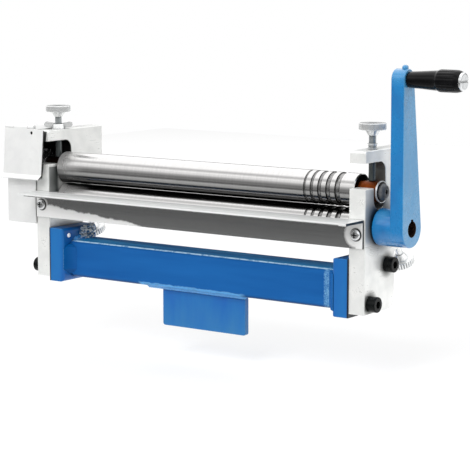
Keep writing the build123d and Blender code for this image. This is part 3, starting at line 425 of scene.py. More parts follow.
def lay_bead(mesh, start, end, first, second, leg, unevenness, bulge=1.25, ripples=0.16, fade=0.004):
    """Lay ripples of weld metal in the corner between plates that run off along first and second.

    Leg is the bead's width on each plate. A bulge of 1 gives a round face, 2 a flat one, and more a
    hollow one. The bead swells to its full width over the fade at either end.
    """
    start, end, first, second = Vector(start), Vector(end), Vector(first), Vector(second)
    length = (end - start).length
    count = max(8, int(length / bead_station))
    phase = random.uniform(0, math.pi)
    leaning = (end - start).normalized() * ripple_pitch * ripple_lean
    rings = []
    drift = 1.0
    for place in range(count + 1):
        share = place / count
        distance = share * length
        drift += random.uniform(-1, 1) * unevenness * 0.05
        drift += (1.0 - drift) * 0.03
        ripple = 1 - ripples + ripples * abs(math.sin(phase + math.pi * distance / ripple_pitch)) ** 0.6
        taper = min(1.0, tapered_end + min(distance, length - distance) / fade)
        size = min(leg * ripple * drift * taper, leg * highest_crest)
        middle = start.lerp(end, share)
        ring = []
        for step in range(bead_steps + 1):
            turn = math.pi / 2 * step / bead_steps
            out = first * math.cos(turn) ** bulge + second * math.sin(turn) ** bulge
            bow = leaning * math.sin(2 * turn) * taper if 0 < share < 1 else Vector()
            point = middle + out * size + bow
            if step == 0:
                point -= second * bead_root
            if step == bead_steps:
                point -= first * bead_root
            ring.append(mesh.verts.new(point))
        ring.append(mesh.verts.new(middle - (first + second) * bead_root))
        rings.append(ring)
    for ring, after in zip(rings, rings[1:]):
        for place in range(len(ring)):
            follower = (place + 1) % len(ring)
            mesh.faces.new((ring[place], ring[follower], after[follower], after[place]))
    mesh.faces.new(list(reversed(rings[0])))
    mesh.faces.new(rings[-1])


def lay_spatter(mesh, centre, across, along, normal, count, size):
    """Small beads of metal that the torch threw beside a weld, flattened where they landed."""
    flattened = Matrix.Diagonal([1 - 0.45 * abs(part) for part in normal]).to_4x4()
    for _ in range(count):
        aside = Vector(across) * random.uniform(-1, 1) + Vector(along) * random.uniform(-1, 1)
        radius = size * random.uniform(0.4, 1.0)
        matrix = Matrix.Translation(Vector(centre) + aside) @ flattened
        bmesh.ops.create_icosphere(mesh, subdivisions=2, radius=radius, matrix=matrix)


def make_piece(name, mesh, material, body, angle=40.0):
    """Turn a bmesh into a smooth-shaded piece that rides on a body."""
    bmesh.ops.recalc_face_normals(mesh, faces=mesh.faces)
    data = bpy.data.meshes.new(name)
    mesh.to_mesh(data)
    mesh.free()
    piece = bpy.data.objects.new(name, data)
    bpy.context.scene.collection.objects.link(piece)
    data.materials.append(material)
    data.shade_smooth()
    data.set_sharp_from_angle(angle=math.radians(angle))
    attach(piece, body)
    return piece


random.seed(7)
bead_mesh = bmesh.new()
front_start = (tab_low[0] - overshoot, tab_low[1], under_z)
front_end = (tab_high[0] + tab_inset, tab_low[1], under_z)
lay_bead(bead_mesh, front_start, front_end, (0, -1, 0), (0, 0, -1), front_leg, unevenness=0.25,
         bulge=1.1, ripples=0.07)
back_start = (tab_low[0] + tab_inset, tab_high[1], under_z)
back_end = (tab_high[0] - tab_inset, tab_high[1], under_z)
lay_bead(bead_mesh, back_start, back_end, (0, 1, 0), (0, 0, -1), bead_leg, unevenness=0.6)
low_z, high_z = beam_low[2] + tube_corner, beam_high[2] - tube_corner
front, back = beam_low[1] + tube_corner, beam_high[1] - tube_corner
for end_x, way in ((beam_low[0], 1), (beam_high[0], -1)):
    lay_bead(bead_mesh, (end_x, front, beam_high[2]), (end_x, back, beam_high[2]),
             (way, 0, 0), (0, 0, 1), bead_leg, unevenness=1.4)
    lay_bead(bead_mesh, (end_x, beam_high[1], low_z), (end_x, beam_high[1], high_z),
             (way, 0, 0), (0, 1, 0), thin_leg, unevenness=0.6)
    lay_spatter(bead_mesh, (end_x + way * spatter_off, (front + back) / 2, beam_high[2]),
                (spatter_across, 0, 0), (0, spatter_along, 0), (0, 0, 1), count=16, size=0.0009)
strip_middle = ((strip_near + strip_far) / 2 + strip_off, beam_low[1], (beam_low[2] + beam_high[2]) / 2)
lay_spatter(bead_mesh, strip_middle, (strip_across, 0, 0), (0, 0, strip_along), (0, 1, 0),
            count=16, size=0.0005)

weld_coat, wire = new_finish("weld_coat")
rounded = soft_edge(wire, 0.0004)[0]
lumps = grain(wire, 0.0011, detail=4.0)
flakes = grain(wire, 0.006, detail=3.0)
film = between(spread(lumps, 0.35, 0.62), weld_blue, weld_crest)
film = between(spread(flakes, 0.52, 0.66, 0, 0.6), film, weld_flaked)
# Along the tab's front the bead carries a painted highlight.
tab_highlight_low = (front_start[0] - 0.002, tab_low[1] - 0.006, under_z - 0.006)
tab_highlight_high = (front_end[0] + 0.002, tab_low[1] + 0.001, under_z + 0.001)
over_tab = inside(wire, tab_highlight_low, tab_highlight_high)
film = between(over_tab * spread(lumps, 0.3, 0.6, 0.7, 0.95), film, highlight_blue)
close_finish(wire, {
    "Base Color": film,
    "Roughness": spread(lumps, 0.3, 0.7, 0.2, 0.38),
    "IOR": 1.3,
    "Coat Weight": 0.3,
    "Coat Roughness": 0.12,
    "Normal": relief(lumps, 0.00012, rounded),
})
weld_runs = make_piece("weld_runs", bead_mesh, weld_coat, "frame", 60.0)
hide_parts("weld_beads")

# Front joints. Two wide beads fill the corners between the tube's front and the end plates: the left
# one is ground hollow, the right one stands full down the whole plate, under one skin of enamel.
joint_shade_blue = (0.001, 0.082, 0.282, 1)
joint_shade_deep = (0.001, 0.070, 0.245, 1)
hollow_leg, full_leg = 0.0100, 0.0111
hollow_low, hollow_high = beam_low[2] + 0.0034, beam_high[2] - 0.0030
full_low, full_high = end_low[2] + 0.0015, beam_high[2] + 0.001
full_x = beam_high[0] + 0.0012
joint_mesh = bmesh.new()
lay_bead(joint_mesh, (beam_low[0], beam_low[1], hollow_low), (beam_low[0], beam_low[1], hollow_high),
         (0.75, 0, 0), (0, -0.98, 0), hollow_leg, unevenness=0.05, bulge=2.3, ripples=0.015, fade=0.006)
lay_bead(joint_mesh, (full_x, beam_low[1], full_low), (full_x, beam_low[1], full_high),
         (-0.34, 0, 0), (0, -1.0, 0), full_leg, unevenness=0.02, bulge=0.5, ripples=0.01, fade=0.005)
joint_enamel, wire = new_finish("joint_enamel")
# Painted shade darkens the hollow of the left one, darkest against the plate.
joint_shade_share = spread(place_along(wire, "X"), beam_low[0] + 0.0062, beam_low[0] + 0.0012)
joint_blue = between(joint_shade_share, beam_light, joint_shade_blue)
joint_deep = between(joint_shade_share, beam_deep, joint_shade_deep)
spray_enamel(wire, joint_blue, joint_deep, enamel_thin, peel_depth=0.00008, roughness=0.32, index=1.15)
front_joints = make_piece("front_joints", joint_mesh, joint_enamel, "frame", 60.0)

# Torn weld. Behind the tube's front edge the left joint was built up in several rough passes, from
# the tube's top to the end plate's; the enamel has flaked off its crests and shows white metal.
torn_blue = (0.02, 0.15, 0.36, 1)
torn_metal = (0.88, 0.93, 0.94, 1)
torn_shade = (0.01, 0.07, 0.16, 1)
drop_glint = (0.95, 0.96, 0.96, 1)
torn_front, torn_back = beam_low[1] + 0.0105, beam_high[1] - 0.0015
torn_rows = 5
torn_rise, torn_leg, torn_step = 0.0023, 0.0028, 0.001
torn_mesh = bmesh.new()
for row in range(torn_rows):
    row_z = beam_high[2] + torn_rise * row
    row_front = torn_front + torn_step * row
    lay_bead(torn_mesh, (beam_low[0], row_front, row_z), (beam_low[0], torn_back, row_z),
             (1.5 - 0.2 * row, 0, 0), (0, 0, 0.9), torn_leg, unevenness=4.0)
for lump_rise in (0.002, 0.006, 0.010):
    lump_middle = (beam_low[0] + 0.0022, (torn_front + torn_back) / 2, beam_high[2] + lump_rise)
    lay_spatter(torn_mesh, lump_middle, (0.001, 0, 0), (0, 0.010, 0), (1, 0, 0), count=26, size=0.0013)
# One drop of weld metal stuck to the end plate below it, and it is painted white as a painted glint.
drop_place = (beam_low[0] + 0.0002, beam_low[1] - 0.0022, beam_high[2] + 0.0048)
drop_radius = 0.0022
lay_spatter(torn_mesh, drop_place, (0, 0, 0), (0, 0, 0), (1, 0, 0), count=1, size=drop_radius)
torn_coat, wire = new_finish("torn_coat")
rounded = soft_edge(wire, 0.0003)[0]
flakes = grain(wire, 0.0021, detail=5.0)
lumps = grain(wire, 0.0008, detail=3.0)
film = between(spread(flakes, 0.45, 0.52), torn_blue, torn_metal)
# Painted shade darkens the hollows between the passes.
film = between(occlusion_shade(wire, 0.0015) * 0.8, film, torn_shade)
film = between(near(wire, drop_place, drop_radius + 0.0008, 0.0002), film, drop_glint)
close_finish(wire, {
    "Base Color": film,
    "Metallic": spread(flakes, 0.5, 0.56, 0.0, 0.5),
    "Roughness": spread(lumps, 0.3, 0.7, 0.2, 0.45),
    "Normal": relief(flakes * 0.6 + lumps * 0.4, 0.0006, rounded),
})
torn_weld = make_piece("torn_weld", torn_mesh, torn_coat, "frame", 60.0)

# Cap screws. Four socket-head screws hold the side plates to the base, and a small socket screw locks
# the crank's hub: all are hardened steel, blackened in a hot salt bath and oiled.
oxide_black = (0.002, 0.003, 0.003, 1)
oxide_thin = (0.006, 0.007, 0.007, 1)
oxide_edge = (0.05, 0.055, 0.055, 1)


def clouded(wire, radius, size, colour, cloud, roll_shade_share, share=1.0, low=0.35):
    """A colour with clouds of a second one, and a third where handling has rubbed its edges."""
    rounded, edge = soft_edge(wire, radius)
    clouds = grain(wire, size, detail=4.0)
    film = between(spread(clouds, low, 0.7), colour, cloud)
    return between(edge * share, film, roll_shade_share), clouds, rounded


black_oxide, wire = new_finish("black_oxide")
black, clouds, rounded = clouded(wire, 0.0004, 0.003, oxide_black, oxide_thin, oxide_edge, low=0.4)
knurl = grain(wire, 0.0005, detail=2.0)
close_finish(wire, {
    "Base Color": black,
    "Roughness": spread(clouds, 0.3, 0.7, 0.22, 0.36),
    "IOR": 1.22,
    "Normal": relief(knurl * 0.6 + clouds * 0.4, 0.00002, rounded),
})
dress(["frame_cap_screws", "crank_set_screw"], black_oxide)

# Feed angle. A strip of zinc-plated sheet folded on a press brake across the front: its lip guides
# the work into the rolls, and rolling marks run along it. Two pan-head screws hold its leg.
leg_reflection_pale, leg_reflection_grey = (0.36, 0.365, 0.365, 1), (0.22, 0.222, 0.222, 1)
leg_streak, leg_cloud = (0.42, 0.425, 0.42, 1), (0.22, 0.22, 0.22, 1)
lip_white, lip_streak = (0.93, 0.94, 0.935, 1), (0.72, 0.73, 0.725, 1)
pale_reflection_zinc = (0.86, 0.86, 0.85, 1)
zinc_edge = (0.92, 0.93, 0.93, 1)
zinc_shade = (0.10, 0.10, 0.10, 1)
ring_shadow = (0.012, 0.012, 0.012, 1)
end_shadow_dark = (0.02, 0.025, 0.03, 1)
screws_low, screws_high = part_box("feed_angle_screws")
screw_radius = (screws_high[2] - screws_low[2]) / 2
screw_shank = 0.014
leg_y = screws_high[1] - screw_shank
reflection_left, reflection_bend, reflection_right = [angle_low[0] + run for run in (0.0078, 0.1038, 0.1438)]
reflection_tall, reflection_short, reflection_gone = 0.0118, 0.0030, -0.0060
left_reflection_reach, right_reflection_reach = 0.0066, 0.0106
lip_sheet, lip_blend = 0.0016, 0.0005
angle_sheet, wire = new_finish("angle_sheet")
rounded, edge = soft_edge(wire, 0.0004)
along = grain(wire, 0.0011, (0.006, 1, 1), 3.0)
fine = grain(wire, 0.00035, (0.01, 1, 1), 2.0)
clouds = grain(wire, 0.02, (0.4, 1, 1), 4.0)
ragged = grain(wire, 0.009, detail=4.0)
x, z = [place_along(wire, axis) for axis in "XZ"]
# The leg is painted as a grey reflection of the dim room in front, darker towards its top.
height = spread(z, angle_low[2], angle_high[2])
leg_streaks_and_reflection = between(height, leg_reflection_pale, leg_reflection_grey)
leg_streaks_and_reflection = between(spread(along, 0.3, 0.7, 0.0, 0.25), leg_streaks_and_reflection, leg_streak)
leg_streaks_and_reflection = between(spread(clouds, 0.5, 0.75, 0, 0.3), leg_streaks_and_reflection, leg_cloud)
lip_tone = between(spread(along, 0.35, 0.65), lip_white, lip_streak)
on_lip = spread(z, angle_high[2] - lip_sheet, angle_high[2] - lip_sheet + lip_blend)
zinc = between(on_lip, leg_streaks_and_reflection, lip_tone)
# A pale painted reflection lies round the two screws and thins out along the leg's lower left edge.
rise = spread(x, reflection_left, reflection_bend, reflection_tall, reflection_short)
rise = rise + spread(x, reflection_bend, reflection_right, 0.0, reflection_gone)
wander = (ragged - 0.5) * 0.0055
pale_reflection = spread(z - (angle_low[2] + rise + wander), 0.0008, -0.0008)
pale_reflection = either(pale_reflection, spread(abs(x), angle_high[0] - 0.008, angle_high[0] - 0.006))
rings = []
for way, reach in ((-1, left_reflection_reach), (1, right_reflection_reach)):
    screw_place = (way * (screws_high[0] - screw_radius), leg_y, screws_low[2] + screw_radius)
    pale_reflection = either(pale_reflection, near(wire, screw_place, reach, 0.0012))
    rings.append(near(wire, screw_place, screw_radius + 0.0009, 0.0004))
pale_reflection = pale_reflection * (1 - on_lip)
zinc = between(pale_reflection, zinc, pale_reflection_zinc)
zinc = between(edge * 0.6, zinc, zinc_edge)
# Painted shadows ring the two screw heads.
zinc = between(either(*rings), zinc, ring_shadow)
# Painted shade darkens the corners, less on the lip.
zinc = between(occlusion_shade(wire, 0.004) * (1 - on_lip * 0.8) * 0.8, zinc, zinc_shade)
# The sheet's end faces are painted dark as painted shadow.
cut_end = spread(abs(facing(wire, "X")), 0.7, 0.9)
close_finish(wire, {
    "Base Color": between(cut_end, zinc, end_shadow_dark),
    "Metallic": spread(either(pale_reflection, on_lip), 0.0, 1.0, 0.9, 0.25),
    "Roughness": spread(along * 0.5 + clouds * 0.5, 0.35, 0.65, 0.15, 0.26) + pale_reflection * 0.25 + on_lip * 0.2,
    "Normal": relief(along * 0.6 + fine * 0.4, 0.000008, rounded),
})
dress(["feed_angle"], angle_sheet)

# Bright screws and pins. The pan-head screws of the angle and the gear cover, the flap's hinge pin and
# the grip's spindle are turned steel with a bright zinc plate, and painted shade darkens their slots.
plate_silver = (0.72, 0.735, 0.74, 1)
plate_cloud = (0.60, 0.61, 0.615, 1)
plate_edge = (0.9, 0.91, 0.91, 1)
slot_shade = (0.008, 0.008, 0.008, 1)
bright_zinc, wire = new_finish("bright_zinc")
plated, clouds, rounded = clouded(wire, 0.0003, 0.004, plate_silver, plate_cloud, plate_edge, 0.7)
turned_lines = grain(wire, 0.0004, detail=2.0)
close_finish(wire, {
    "Base Color": between(occlusion_shade(wire, 0.003, 0.35, 0.85), plated, slot_shade),
    "Metallic": 0.95,
    "Roughness": spread(clouds, 0.3, 0.7, 0.10, 0.20),
    "Normal": relief(turned_lines, 0.000003, rounded),
})
dress(["feed_angle_screws", "gear_cover_screws", "flap_hinge_pin", "handle_spindle"], bright_zinc)

# Rolls. Three bars of steel, turned, ground between centres and polished: mirror bright along their
# length, with faint grinding lines round them and smears of oil, so they show the room in long bands.
steel_ground = (0.60, 0.59, 0.585, 1)
steel_line = (0.53, 0.525, 0.52, 1)
steel_edge = (0.85, 0.85, 0.85, 1)
end_dark_reflection = (0.006, 0.006, 0.0065, 1)
steel_shade_black = (0.010, 0.010, 0.009, 1)
end_rim = 0.0010
beside_from, beside_to = plate_low[0] - 0.010, plate_low[0] - 0.003
rubbed_from, rubbed_to = 0.035 - plate_low[0], 0.002 - plate_low[0]
roll_steel, wire = new_finish("roll_steel")
rounded, edge = soft_edge(wire, 0.0003)
rings = grain(wire, 0.00045, (1, 0.02, 0.02), 3.0)
smears = grain(wire, 0.03, (0.5, 1, 1), 4.0)
steel = between(spread(rings, 0.3, 0.7), steel_ground, steel_line)
steel = between(edge * 0.5, steel, steel_edge)
# The ends were only turned, and are painted black inside a bright rim, as a painted dark reflection.
turned_end = spread(abs(facing(wire, "X")), 0.9, 0.97)
rim = soft_edge(wire, end_rim)[1]
steel = between(turned_end * (1 - rim), steel, end_dark_reflection)
# Painted shade darkens the wire grooves on the right and the nip of the two front rolls.
x = place_along(wire, "X")
steel = between(occlusion_shade(wire, 0.0016, 0.55, 0.95) * spread(x, 0.0, 0.01), steel, steel_shade_black)
beside_plate = spread(abs(x), beside_from, beside_to)
nip = occlusion_shade(wire, 0.005, 0.55 - beside_plate * 0.45, 0.92 - beside_plate * 0.52)
# Painted dark reflections lie in bands on the rolls' undersides, whichever way they have turned.
downward = facing(wire, "Z")
underside_bands = spread(downward, -0.04, -0.10, 0, 0.4) + spread(downward, -0.33, -0.42, 0, 0.3)
underside_bands = underside_bands + spread(downward, -0.66, -0.76, 0, 0.3)
# Their left ends run close to the gears' plate, and rubbing there has dulled them.
rubbed_end = spread(x, rubbed_from, rubbed_to)
close_finish(wire, {
    "Base Color": between(either(nip, underside_bands), steel, steel_shade_black),
    "Metallic": 1 - rubbed_end * 0.35,
    "Roughness": spread(smears, 0.35, 0.7, 0.10, 0.17) + rubbed_end * 0.20 + nip * 0.25,
    "Normal": relief(rings, 0.00008, rounded),
})
dress(["top_roll", "lower_roll", "rear_roll"], roll_steel)

# Bushes. Six sleeves pressed from bronze powder and soaked in oil, in which the journals run: warm
# brown with a fine open grain, and polished a little where they have been handled.
bronze_warm = (0.19, 0.040, 0.004, 1)
bronze_dull = (0.10, 0.020, 0.003, 1)
bronze_edge = (0.50, 0.16, 0.05, 1)
bronze_oily = (0.008, 0.006, 0.005, 1)
bronze_shade = (0.02, 0.008, 0.004, 1)
oiled_bronze, wire = new_finish("oiled_bronze")
rounded, edge = soft_edge(wire, 0.0003)
pores = grain(wire, 0.0004, detail=2.0)
clouds = grain(wire, 0.004, detail=3.0)
bronze = between(spread(clouds, 0.35, 0.7), bronze_warm, bronze_dull)
bronze = between(edge * 0.3, bronze, bronze_edge)
# Gear oil has blackened the bushes on the gears' side.
gear_side = spread(place_along(wire, "X"), 0.0, -0.01)
bronze = between(gear_side * 0.96, bronze, bronze_oily)
# Painted shade darkens the bushes' corners.
close_finish(wire, {
    "Base Color": between(occlusion_shade(wire, 0.004) * 0.8, bronze, bronze_shade),
    "Metallic": 0.7,
    "IOR": 1.2,
    "Roughness": spread(pores * 0.5 + clouds * 0.5, 0.3, 0.7, 0.24, 0.38),
    "Normal": relief(pores, 0.00002, rounded),
})
for roll in ("lower", "top", "rear"):
    dress([f"{roll}_roll_bush_left", f"{roll}_roll_bush_right"], oiled_bronze)

# Ends of the rolls. A domed screw and a turned washer close each journal: the screws are dull grey
# steel, and the washers are painted black over their faces as a dark reflection, with a painted
# highlight along their rims; painted shade darkens their recesses.
dome_grey = (0.15, 0.152, 0.158, 1)
dome_dull = (0.10, 0.102, 0.107, 1)
dome_edge = (0.75, 0.76, 0.77, 1)
rim_highlight = (0.80, 0.81, 0.82, 1)
washer_dark = (0.006, 0.006, 0.006, 1)
washer_rim = 0.0005


def from_axle(wire, low, high):
    """How far a point is from the line that runs across the machine through a box's middle."""
    flattened = wire.vector("MULTIPLY", surface_point(wire), (0, 1, 1))
    middle = (0, (low[1] + high[1]) / 2, (low[2] + high[2]) / 2)
    return wire.vector("DISTANCE", flattened, middle, "Value")


domes_low, domes_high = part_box("top_roll_end_screws")
washers_low, washers_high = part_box("top_roll_end_washers")
dome_radius = (domes_high[2] - domes_low[2]) / 2
washer_radius = (washers_high[2] - washers_low[2]) / 2
end_steel, wire = new_finish("end_steel")
grey, clouds, rounded = clouded(wire, 0.0003, 0.003, dome_grey, dome_dull, dome_edge, 0.8)
lathe = grain(wire, 0.0003, detail=2.0)
from_axis = from_axle(wire, washers_low, washers_high)
for other_washer in ("lower_roll_end_washer", "rear_roll_end_washers"):
    from_axis = wire.math("MINIMUM", from_axis, from_axle(wire, *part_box(other_washer)))
# A painted highlight lies along each washer's rim, its face inside is painted black as a dark reflection,
# and painted shade darkens recesses.
rim = spread(from_axis, washer_radius - washer_rim, washer_radius - washer_rim * 0.7)
dark_ring = spread(from_axis, dome_radius, dome_radius + 0.0001) * (1 - rim)
grey = between(dark_ring, between(rim, grey, rim_highlight), washer_dark)
close_finish(wire, {
    "Base Color": between(occlusion_shade(wire, 0.0030, 0.45, 0.92) * (1 - rim), grey, washer_dark),
    "Metallic": spread(rim, 0.0, 1.0, 0.3, 0.8),
    "IOR": 1.3,
    "Roughness": spread(clouds, 0.3, 0.7, 0.34, 0.46),
    "Normal": relief(lathe, 0.000008, rounded),
})
dress(["lower_roll_end_screw", "top_roll_end_screws", "rear_roll_end_screws"], end_steel)
dress(["lower_roll_end_washer", "top_roll_end_washers", "rear_roll_end_washers"], end_steel)

# Gears and keys. Two gears cut from steel bar couple the rolls, and square keys hold them and the
# crank: plain machined steel, grey and lightly oiled, with cutter marks on the teeth.
gear_grey = (0.30, 0.305, 0.31, 1)
gear_cloud = (0.20, 0.205, 0.21, 1)
gear_edge = (0.70, 0.71, 0.72, 1)
gear_shade = (0.008, 0.008, 0.008, 1)
machined_steel, wire = new_finish("machined_steel")
grey, clouds, rounded = clouded(wire, 0.0003, 0.005, gear_grey, gear_cloud, gear_edge)
marks = grain(wire, 0.0004, (0.1, 1, 1), 2.0)
# Painted shade darkens the corners between the teeth.
close_finish(wire, {
    "Base Color": between(occlusion_shade(wire, 0.0025), grey, gear_shade),
    "Metallic": 1.0,
    "Roughness": spread(clouds, 0.3, 0.7, 0.2, 0.36),
    "Normal": relief(marks, 0.000015, rounded),
})
dress(["top_gear", "lower_gear", "top_gear_key", "lower_gear_key", "crank_key"], machined_steel)

# Thumb screws and wing nut. Turned and knurled steel discs pressed on threaded rods, with a stamped
# wing nut on the left one, all in bright zinc that has dulled to a soft white sheen.
zinc_white = (0.86, 0.87, 0.865, 1)
zinc_cloud = (0.74, 0.75, 0.75, 1)
zinc_bright = (0.95, 0.955, 0.95, 1)
thread_shade_grey = (0.14, 0.17, 0.18, 1)
thread_shade_dark = (0.045, 0.055, 0.053, 1)
zinc_corner_shade = (0.035, 0.045, 0.05, 1)
thread_pitch = 0.001
rod_outside, rod_inside = 0.0038, 0.0034
rod_low, rod_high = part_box("adjusting_screw_right")
rod_x, rod_y = (rod_low[0] + rod_high[0]) / 2, (rod_low[1] + rod_high[1]) / 2
soft_zinc, wire = new_finish("soft_zinc")
plated, clouds, rounded = clouded(wire, 0.0004, 0.005, zinc_white, zinc_cloud, zinc_bright)
lathe = grain(wire, 0.0004, (0.15, 0.15, 1), 2.0)
# The threads of the two upright rods are painted dark as painted shade, darkest in the mouths of the
# plates.
x, y, z = [place_along(wire, axis) for axis in "XYZ"]
sideways, inwards = abs(x) - rod_x, y - rod_y
off_axis = wire.math("SQRT", sideways * sideways + inwards * inwards)
rod = spread(off_axis, rod_outside, rod_inside)
threads = wire.math("SINE", z * (2 * math.pi / thread_pitch)) * 0.5 + 0.5
plated = between(rod * spread(threads, 0.1, 0.9, 0.55, 0.85), plated, thread_shade_grey)
in_mouth = spread(z, mouth_high[2] + 0.001, mouth_high[2] - 0.001)
plated = between(rod * in_mouth * 0.8, plated, thread_shade_dark)
# Painted shade darkens the corners.
close_finish(wire, {
    "Base Color": between(occlusion_shade(wire, 0.004, 0.3, 0.9), plated, zinc_corner_shade),
    "Metallic": 0.55,
    "Roughness": spread(clouds * 0.5 + lathe * 0.5, 0.3, 0.7, 0.16, 0.28),
    "Normal": relief(lathe, 0.000003, rounded),
})
for side in ("left", "right"):
    dress([f"adjusting_screw_{side}", f"rear_adjusting_screw_{side}"], soft_zinc)
dress(["wing_nut"], soft_zinc)

# Collar of the right thumb screw. A short threaded sleeve pressed into the bridge from above, with
# two turned grooves; the rod of the thumb screw comes up through it.


def turn_piece(profile, start, axis, count=64, ring_shape=None):
    """Turn (distance along the axis, radius) points about an axis, the last joined to the first."""
    mesh = bmesh.new()
    axis = Vector(axis).normalized()
    aside = axis.orthogonal().normalized()
    up = axis.cross(aside)
    rings = []
    for place, (distance, radius) in enumerate(profile):
        ring = []
        for step in range(count):
            turn = 2 * math.pi * step / count
            reach = radius * (ring_shape(place, turn) if ring_shape else 1.0)
            spoke = aside * math.cos(turn) + up * math.sin(turn)
            ring.append(mesh.verts.new(Vector(start) + axis * distance + spoke * reach))
        rings.append(ring)
    for ring, after in zip(rings, rings[1:] + rings[:1]):
        for step in range(count):
            follower = (step + 1) % count
            mesh.faces.new((ring[step], ring[follower], after[follower], after[step]))
    return mesh


collar_bore = 0.00304
collar_radius = 0.0036
collar_foot_radius = 0.0041
collar_groove = 0.0004
collar_profile = [
    (0.0, collar_bore), (0.0, collar_foot_radius), (0.0008, collar_foot_radius),
    (0.001, collar_radius), (0.0016, collar_radius), (0.0018, collar_radius - collar_groove),
    (0.0022, collar_radius - collar_groove), (0.0024, collar_radius), (0.0038, collar_radius),
    (0.004, collar_foot_radius), (0.0047, collar_foot_radius), (0.0047, collar_bore),
]
collar_mesh = turn_piece(collar_profile, (rod_x, rod_y, plate_high[2]), (0, 0, 1))
collar = make_piece("screw_collar", collar_mesh, soft_zinc, "frame")

# Crank. A grey-iron casting, its hub bored and keyed for the lower roll, sprayed a lighter blue than
# the base; the skin of the sand mould shows through the paint as soft dimples.
crank_blue = (0.002, 0.180, 0.450, 1)
crank_deep = (0.001, 0.135, 0.375, 1)
crank_sheen = (0.065, 0.290, 0.540, 1)
crank_thin = (0.10, 0.38, 0.62, 1)
bore_rust = (0.022, 0.012, 0.008, 1)
key_room = 0.0001
arm_low, arm_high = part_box("crank_arm")
keyway_low = (arm_low[0], key_low[1] - key_room, shaft_z)
keyway_high = (arm_high[0] - 2 * key_room, key_high[1] + key_room, key_high[2] + key_room)
highlight_place = (arm_low[0] + 0.0075, shaft_y - 0.0125, shaft_z + 0.0155)
highlight_reach, highlight_blur = 0.0062, 0.0044
sheen_from, sheen_to = arm_high[2] - 0.014, arm_high[2] - 0.004
crank_enamel, wire = new_finish("crank_enamel")
from_shaft = from_axle(wire, *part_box("lower_roll_end_washer"))
bored = spread(from_shaft, journal_radius + 0.00025, journal_radius + 0.00012)
keyway = inside(wire, keyway_low, keyway_high, 0.00006)
# Painted sheen lightens the arm's outer face and its end, and a painted highlight lies high on the front
# of the hub.
painted_sheen = either(spread(facing(wire, "X"), 0.6, 0.9), near(wire, highlight_place, highlight_reach, highlight_blur))
painted_sheen = either(painted_sheen, spread(place_along(wire, "Z"), sheen_from, sheen_to, 0, 0.7))
cast_blue = between(painted_sheen, crank_blue, crank_sheen)
cast_deep = between(painted_sheen * 0.8, crank_deep, crank_sheen)
spray_enamel(wire, cast_blue, cast_deep, crank_thin, peel_depth=0.00012, roughness=0.28, index=1.45,
             gloss=0.8, dents=0.0012, strokes=(1, 1, 0.4), bare_and_painted_light=either(bored, keyway), bare_and_light_colour=bore_rust)
dress(["crank_arm", "spindle_lock_screw"], crank_enamel)

# Grip. A moulded black plastic sleeve that turns on the spindle: a slim smooth neck that swells to a
# belly with shallow flutes for the fingers, and a rounded end under the spindle's bright head.
grip_low, grip_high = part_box("handle_grip")
grip_length = grip_high[0] - grip_low[0]
grip_belly = (grip_high[2] - grip_low[2]) / 2
grip_bore = 0.00404
grip_black = (0.002, 0.002, 0.0025, 1)
grip_cloud = (0.005, 0.005, 0.0055, 1)
grip_edge = (0.03, 0.03, 0.033, 1)
flute_count = 18
flute_depth = 0.03
grip_shape = [
    (0.0, 0.66), (0.012, 0.705), (0.03, 0.715), (0.14, 0.75), (0.28, 0.795), (0.40, 0.84),
    (0.48, 0.87), (0.54, 0.885), (0.565, 0.905), (0.58, 0.955), (0.595, 0.985), (0.62, 1.0),
    (0.72, 1.0), (0.82, 1.0), (0.90, 1.0), (0.93, 0.985), (0.955, 0.955), (0.975, 0.915),
    (0.99, 0.87), (1.0, 0.81),
]
fluted_from, fluted_to = 0.61, 0.92


def flute(place, turn):
    """Share of the radius that is left in a flute, at one ring of the grip."""
    if place == 0 or place > len(grip_shape):
        return 1.0
    share = grip_shape[place - 1][0]
    depth = flute_depth if fluted_from < share < fluted_to else 0.0
    return 1.0 - depth * max(0.0, math.cos(flute_count * turn)) ** 0.7


grip_profile = [(0.0, grip_bore)]
grip_profile += [(grip_length * share, grip_belly * size) for share, size in grip_shape]
grip_profile += [(grip_length, grip_bore)]
grip_start = (grip_low[0], (grip_low[1] + grip_high[1]) / 2, (grip_low[2] + grip_high[2]) / 2)
grip_plastic, wire = new_finish("grip_plastic")
black, clouds, rounded = clouded(wire, 0.0004, 0.006, grip_black, grip_cloud, grip_edge, 0.2)
skin = grain(wire, 0.0006, detail=2.0)
close_finish(wire, {
    "Base Color": black,
    "Roughness": spread(clouds * 0.5 + skin * 0.5, 0.3, 0.7, 0.09, 0.17),
    "IOR": 1.24,
    "Normal": relief(skin, 0.000006, rounded),
})
grip_mesh = turn_piece(grip_profile, grip_start, (1, 0, 0), 144, flute)
grip = make_piece("fluted_grip", grip_mesh, grip_plastic, "handle", 50.0)
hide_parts("handle_grip")

# Gear cover and flap. A folded box of plain pale sheet over the gears, and a hinged flap in front of
# them, both left in their bright passivated zinc, with faint spangle and rubbed edges.
cover_pale = (0.86, 0.865, 0.855, 1)
cover_cloud = (0.78, 0.785, 0.78, 1)
cover_spangle = (0.6, 0.61, 0.62, 1)
cover_edge = (0.95, 0.95, 0.94, 1)
cover_shade = (0.25, 0.25, 0.24, 1)
cover_inside_shade = (0.012, 0.011, 0.010, 1)
flap_edge_dark = (0.012, 0.012, 0.012, 1)
spangles_a_metre = 160.0
wall_inside = 0.0012
front_gap, tail_depth, roof_gap = 0.0020, 0.0106, 0.0006
cover_low, cover_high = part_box("gear_cover")
front_wall, back_wall = plate_low[1] - front_gap, cover_high[1] - tail_depth
roof = plate_high[2] + roof_gap
oily_low = (cover_low[0] + wall_inside, front_wall + wall_inside, cover_low[2] + wall_inside)
oily_high = (cover_high[0], back_wall - wall_inside, roof - wall_inside)
cover_sheet, wire = new_finish("cover_sheet")
rounded, edge = soft_edge(wire, 0.0005)
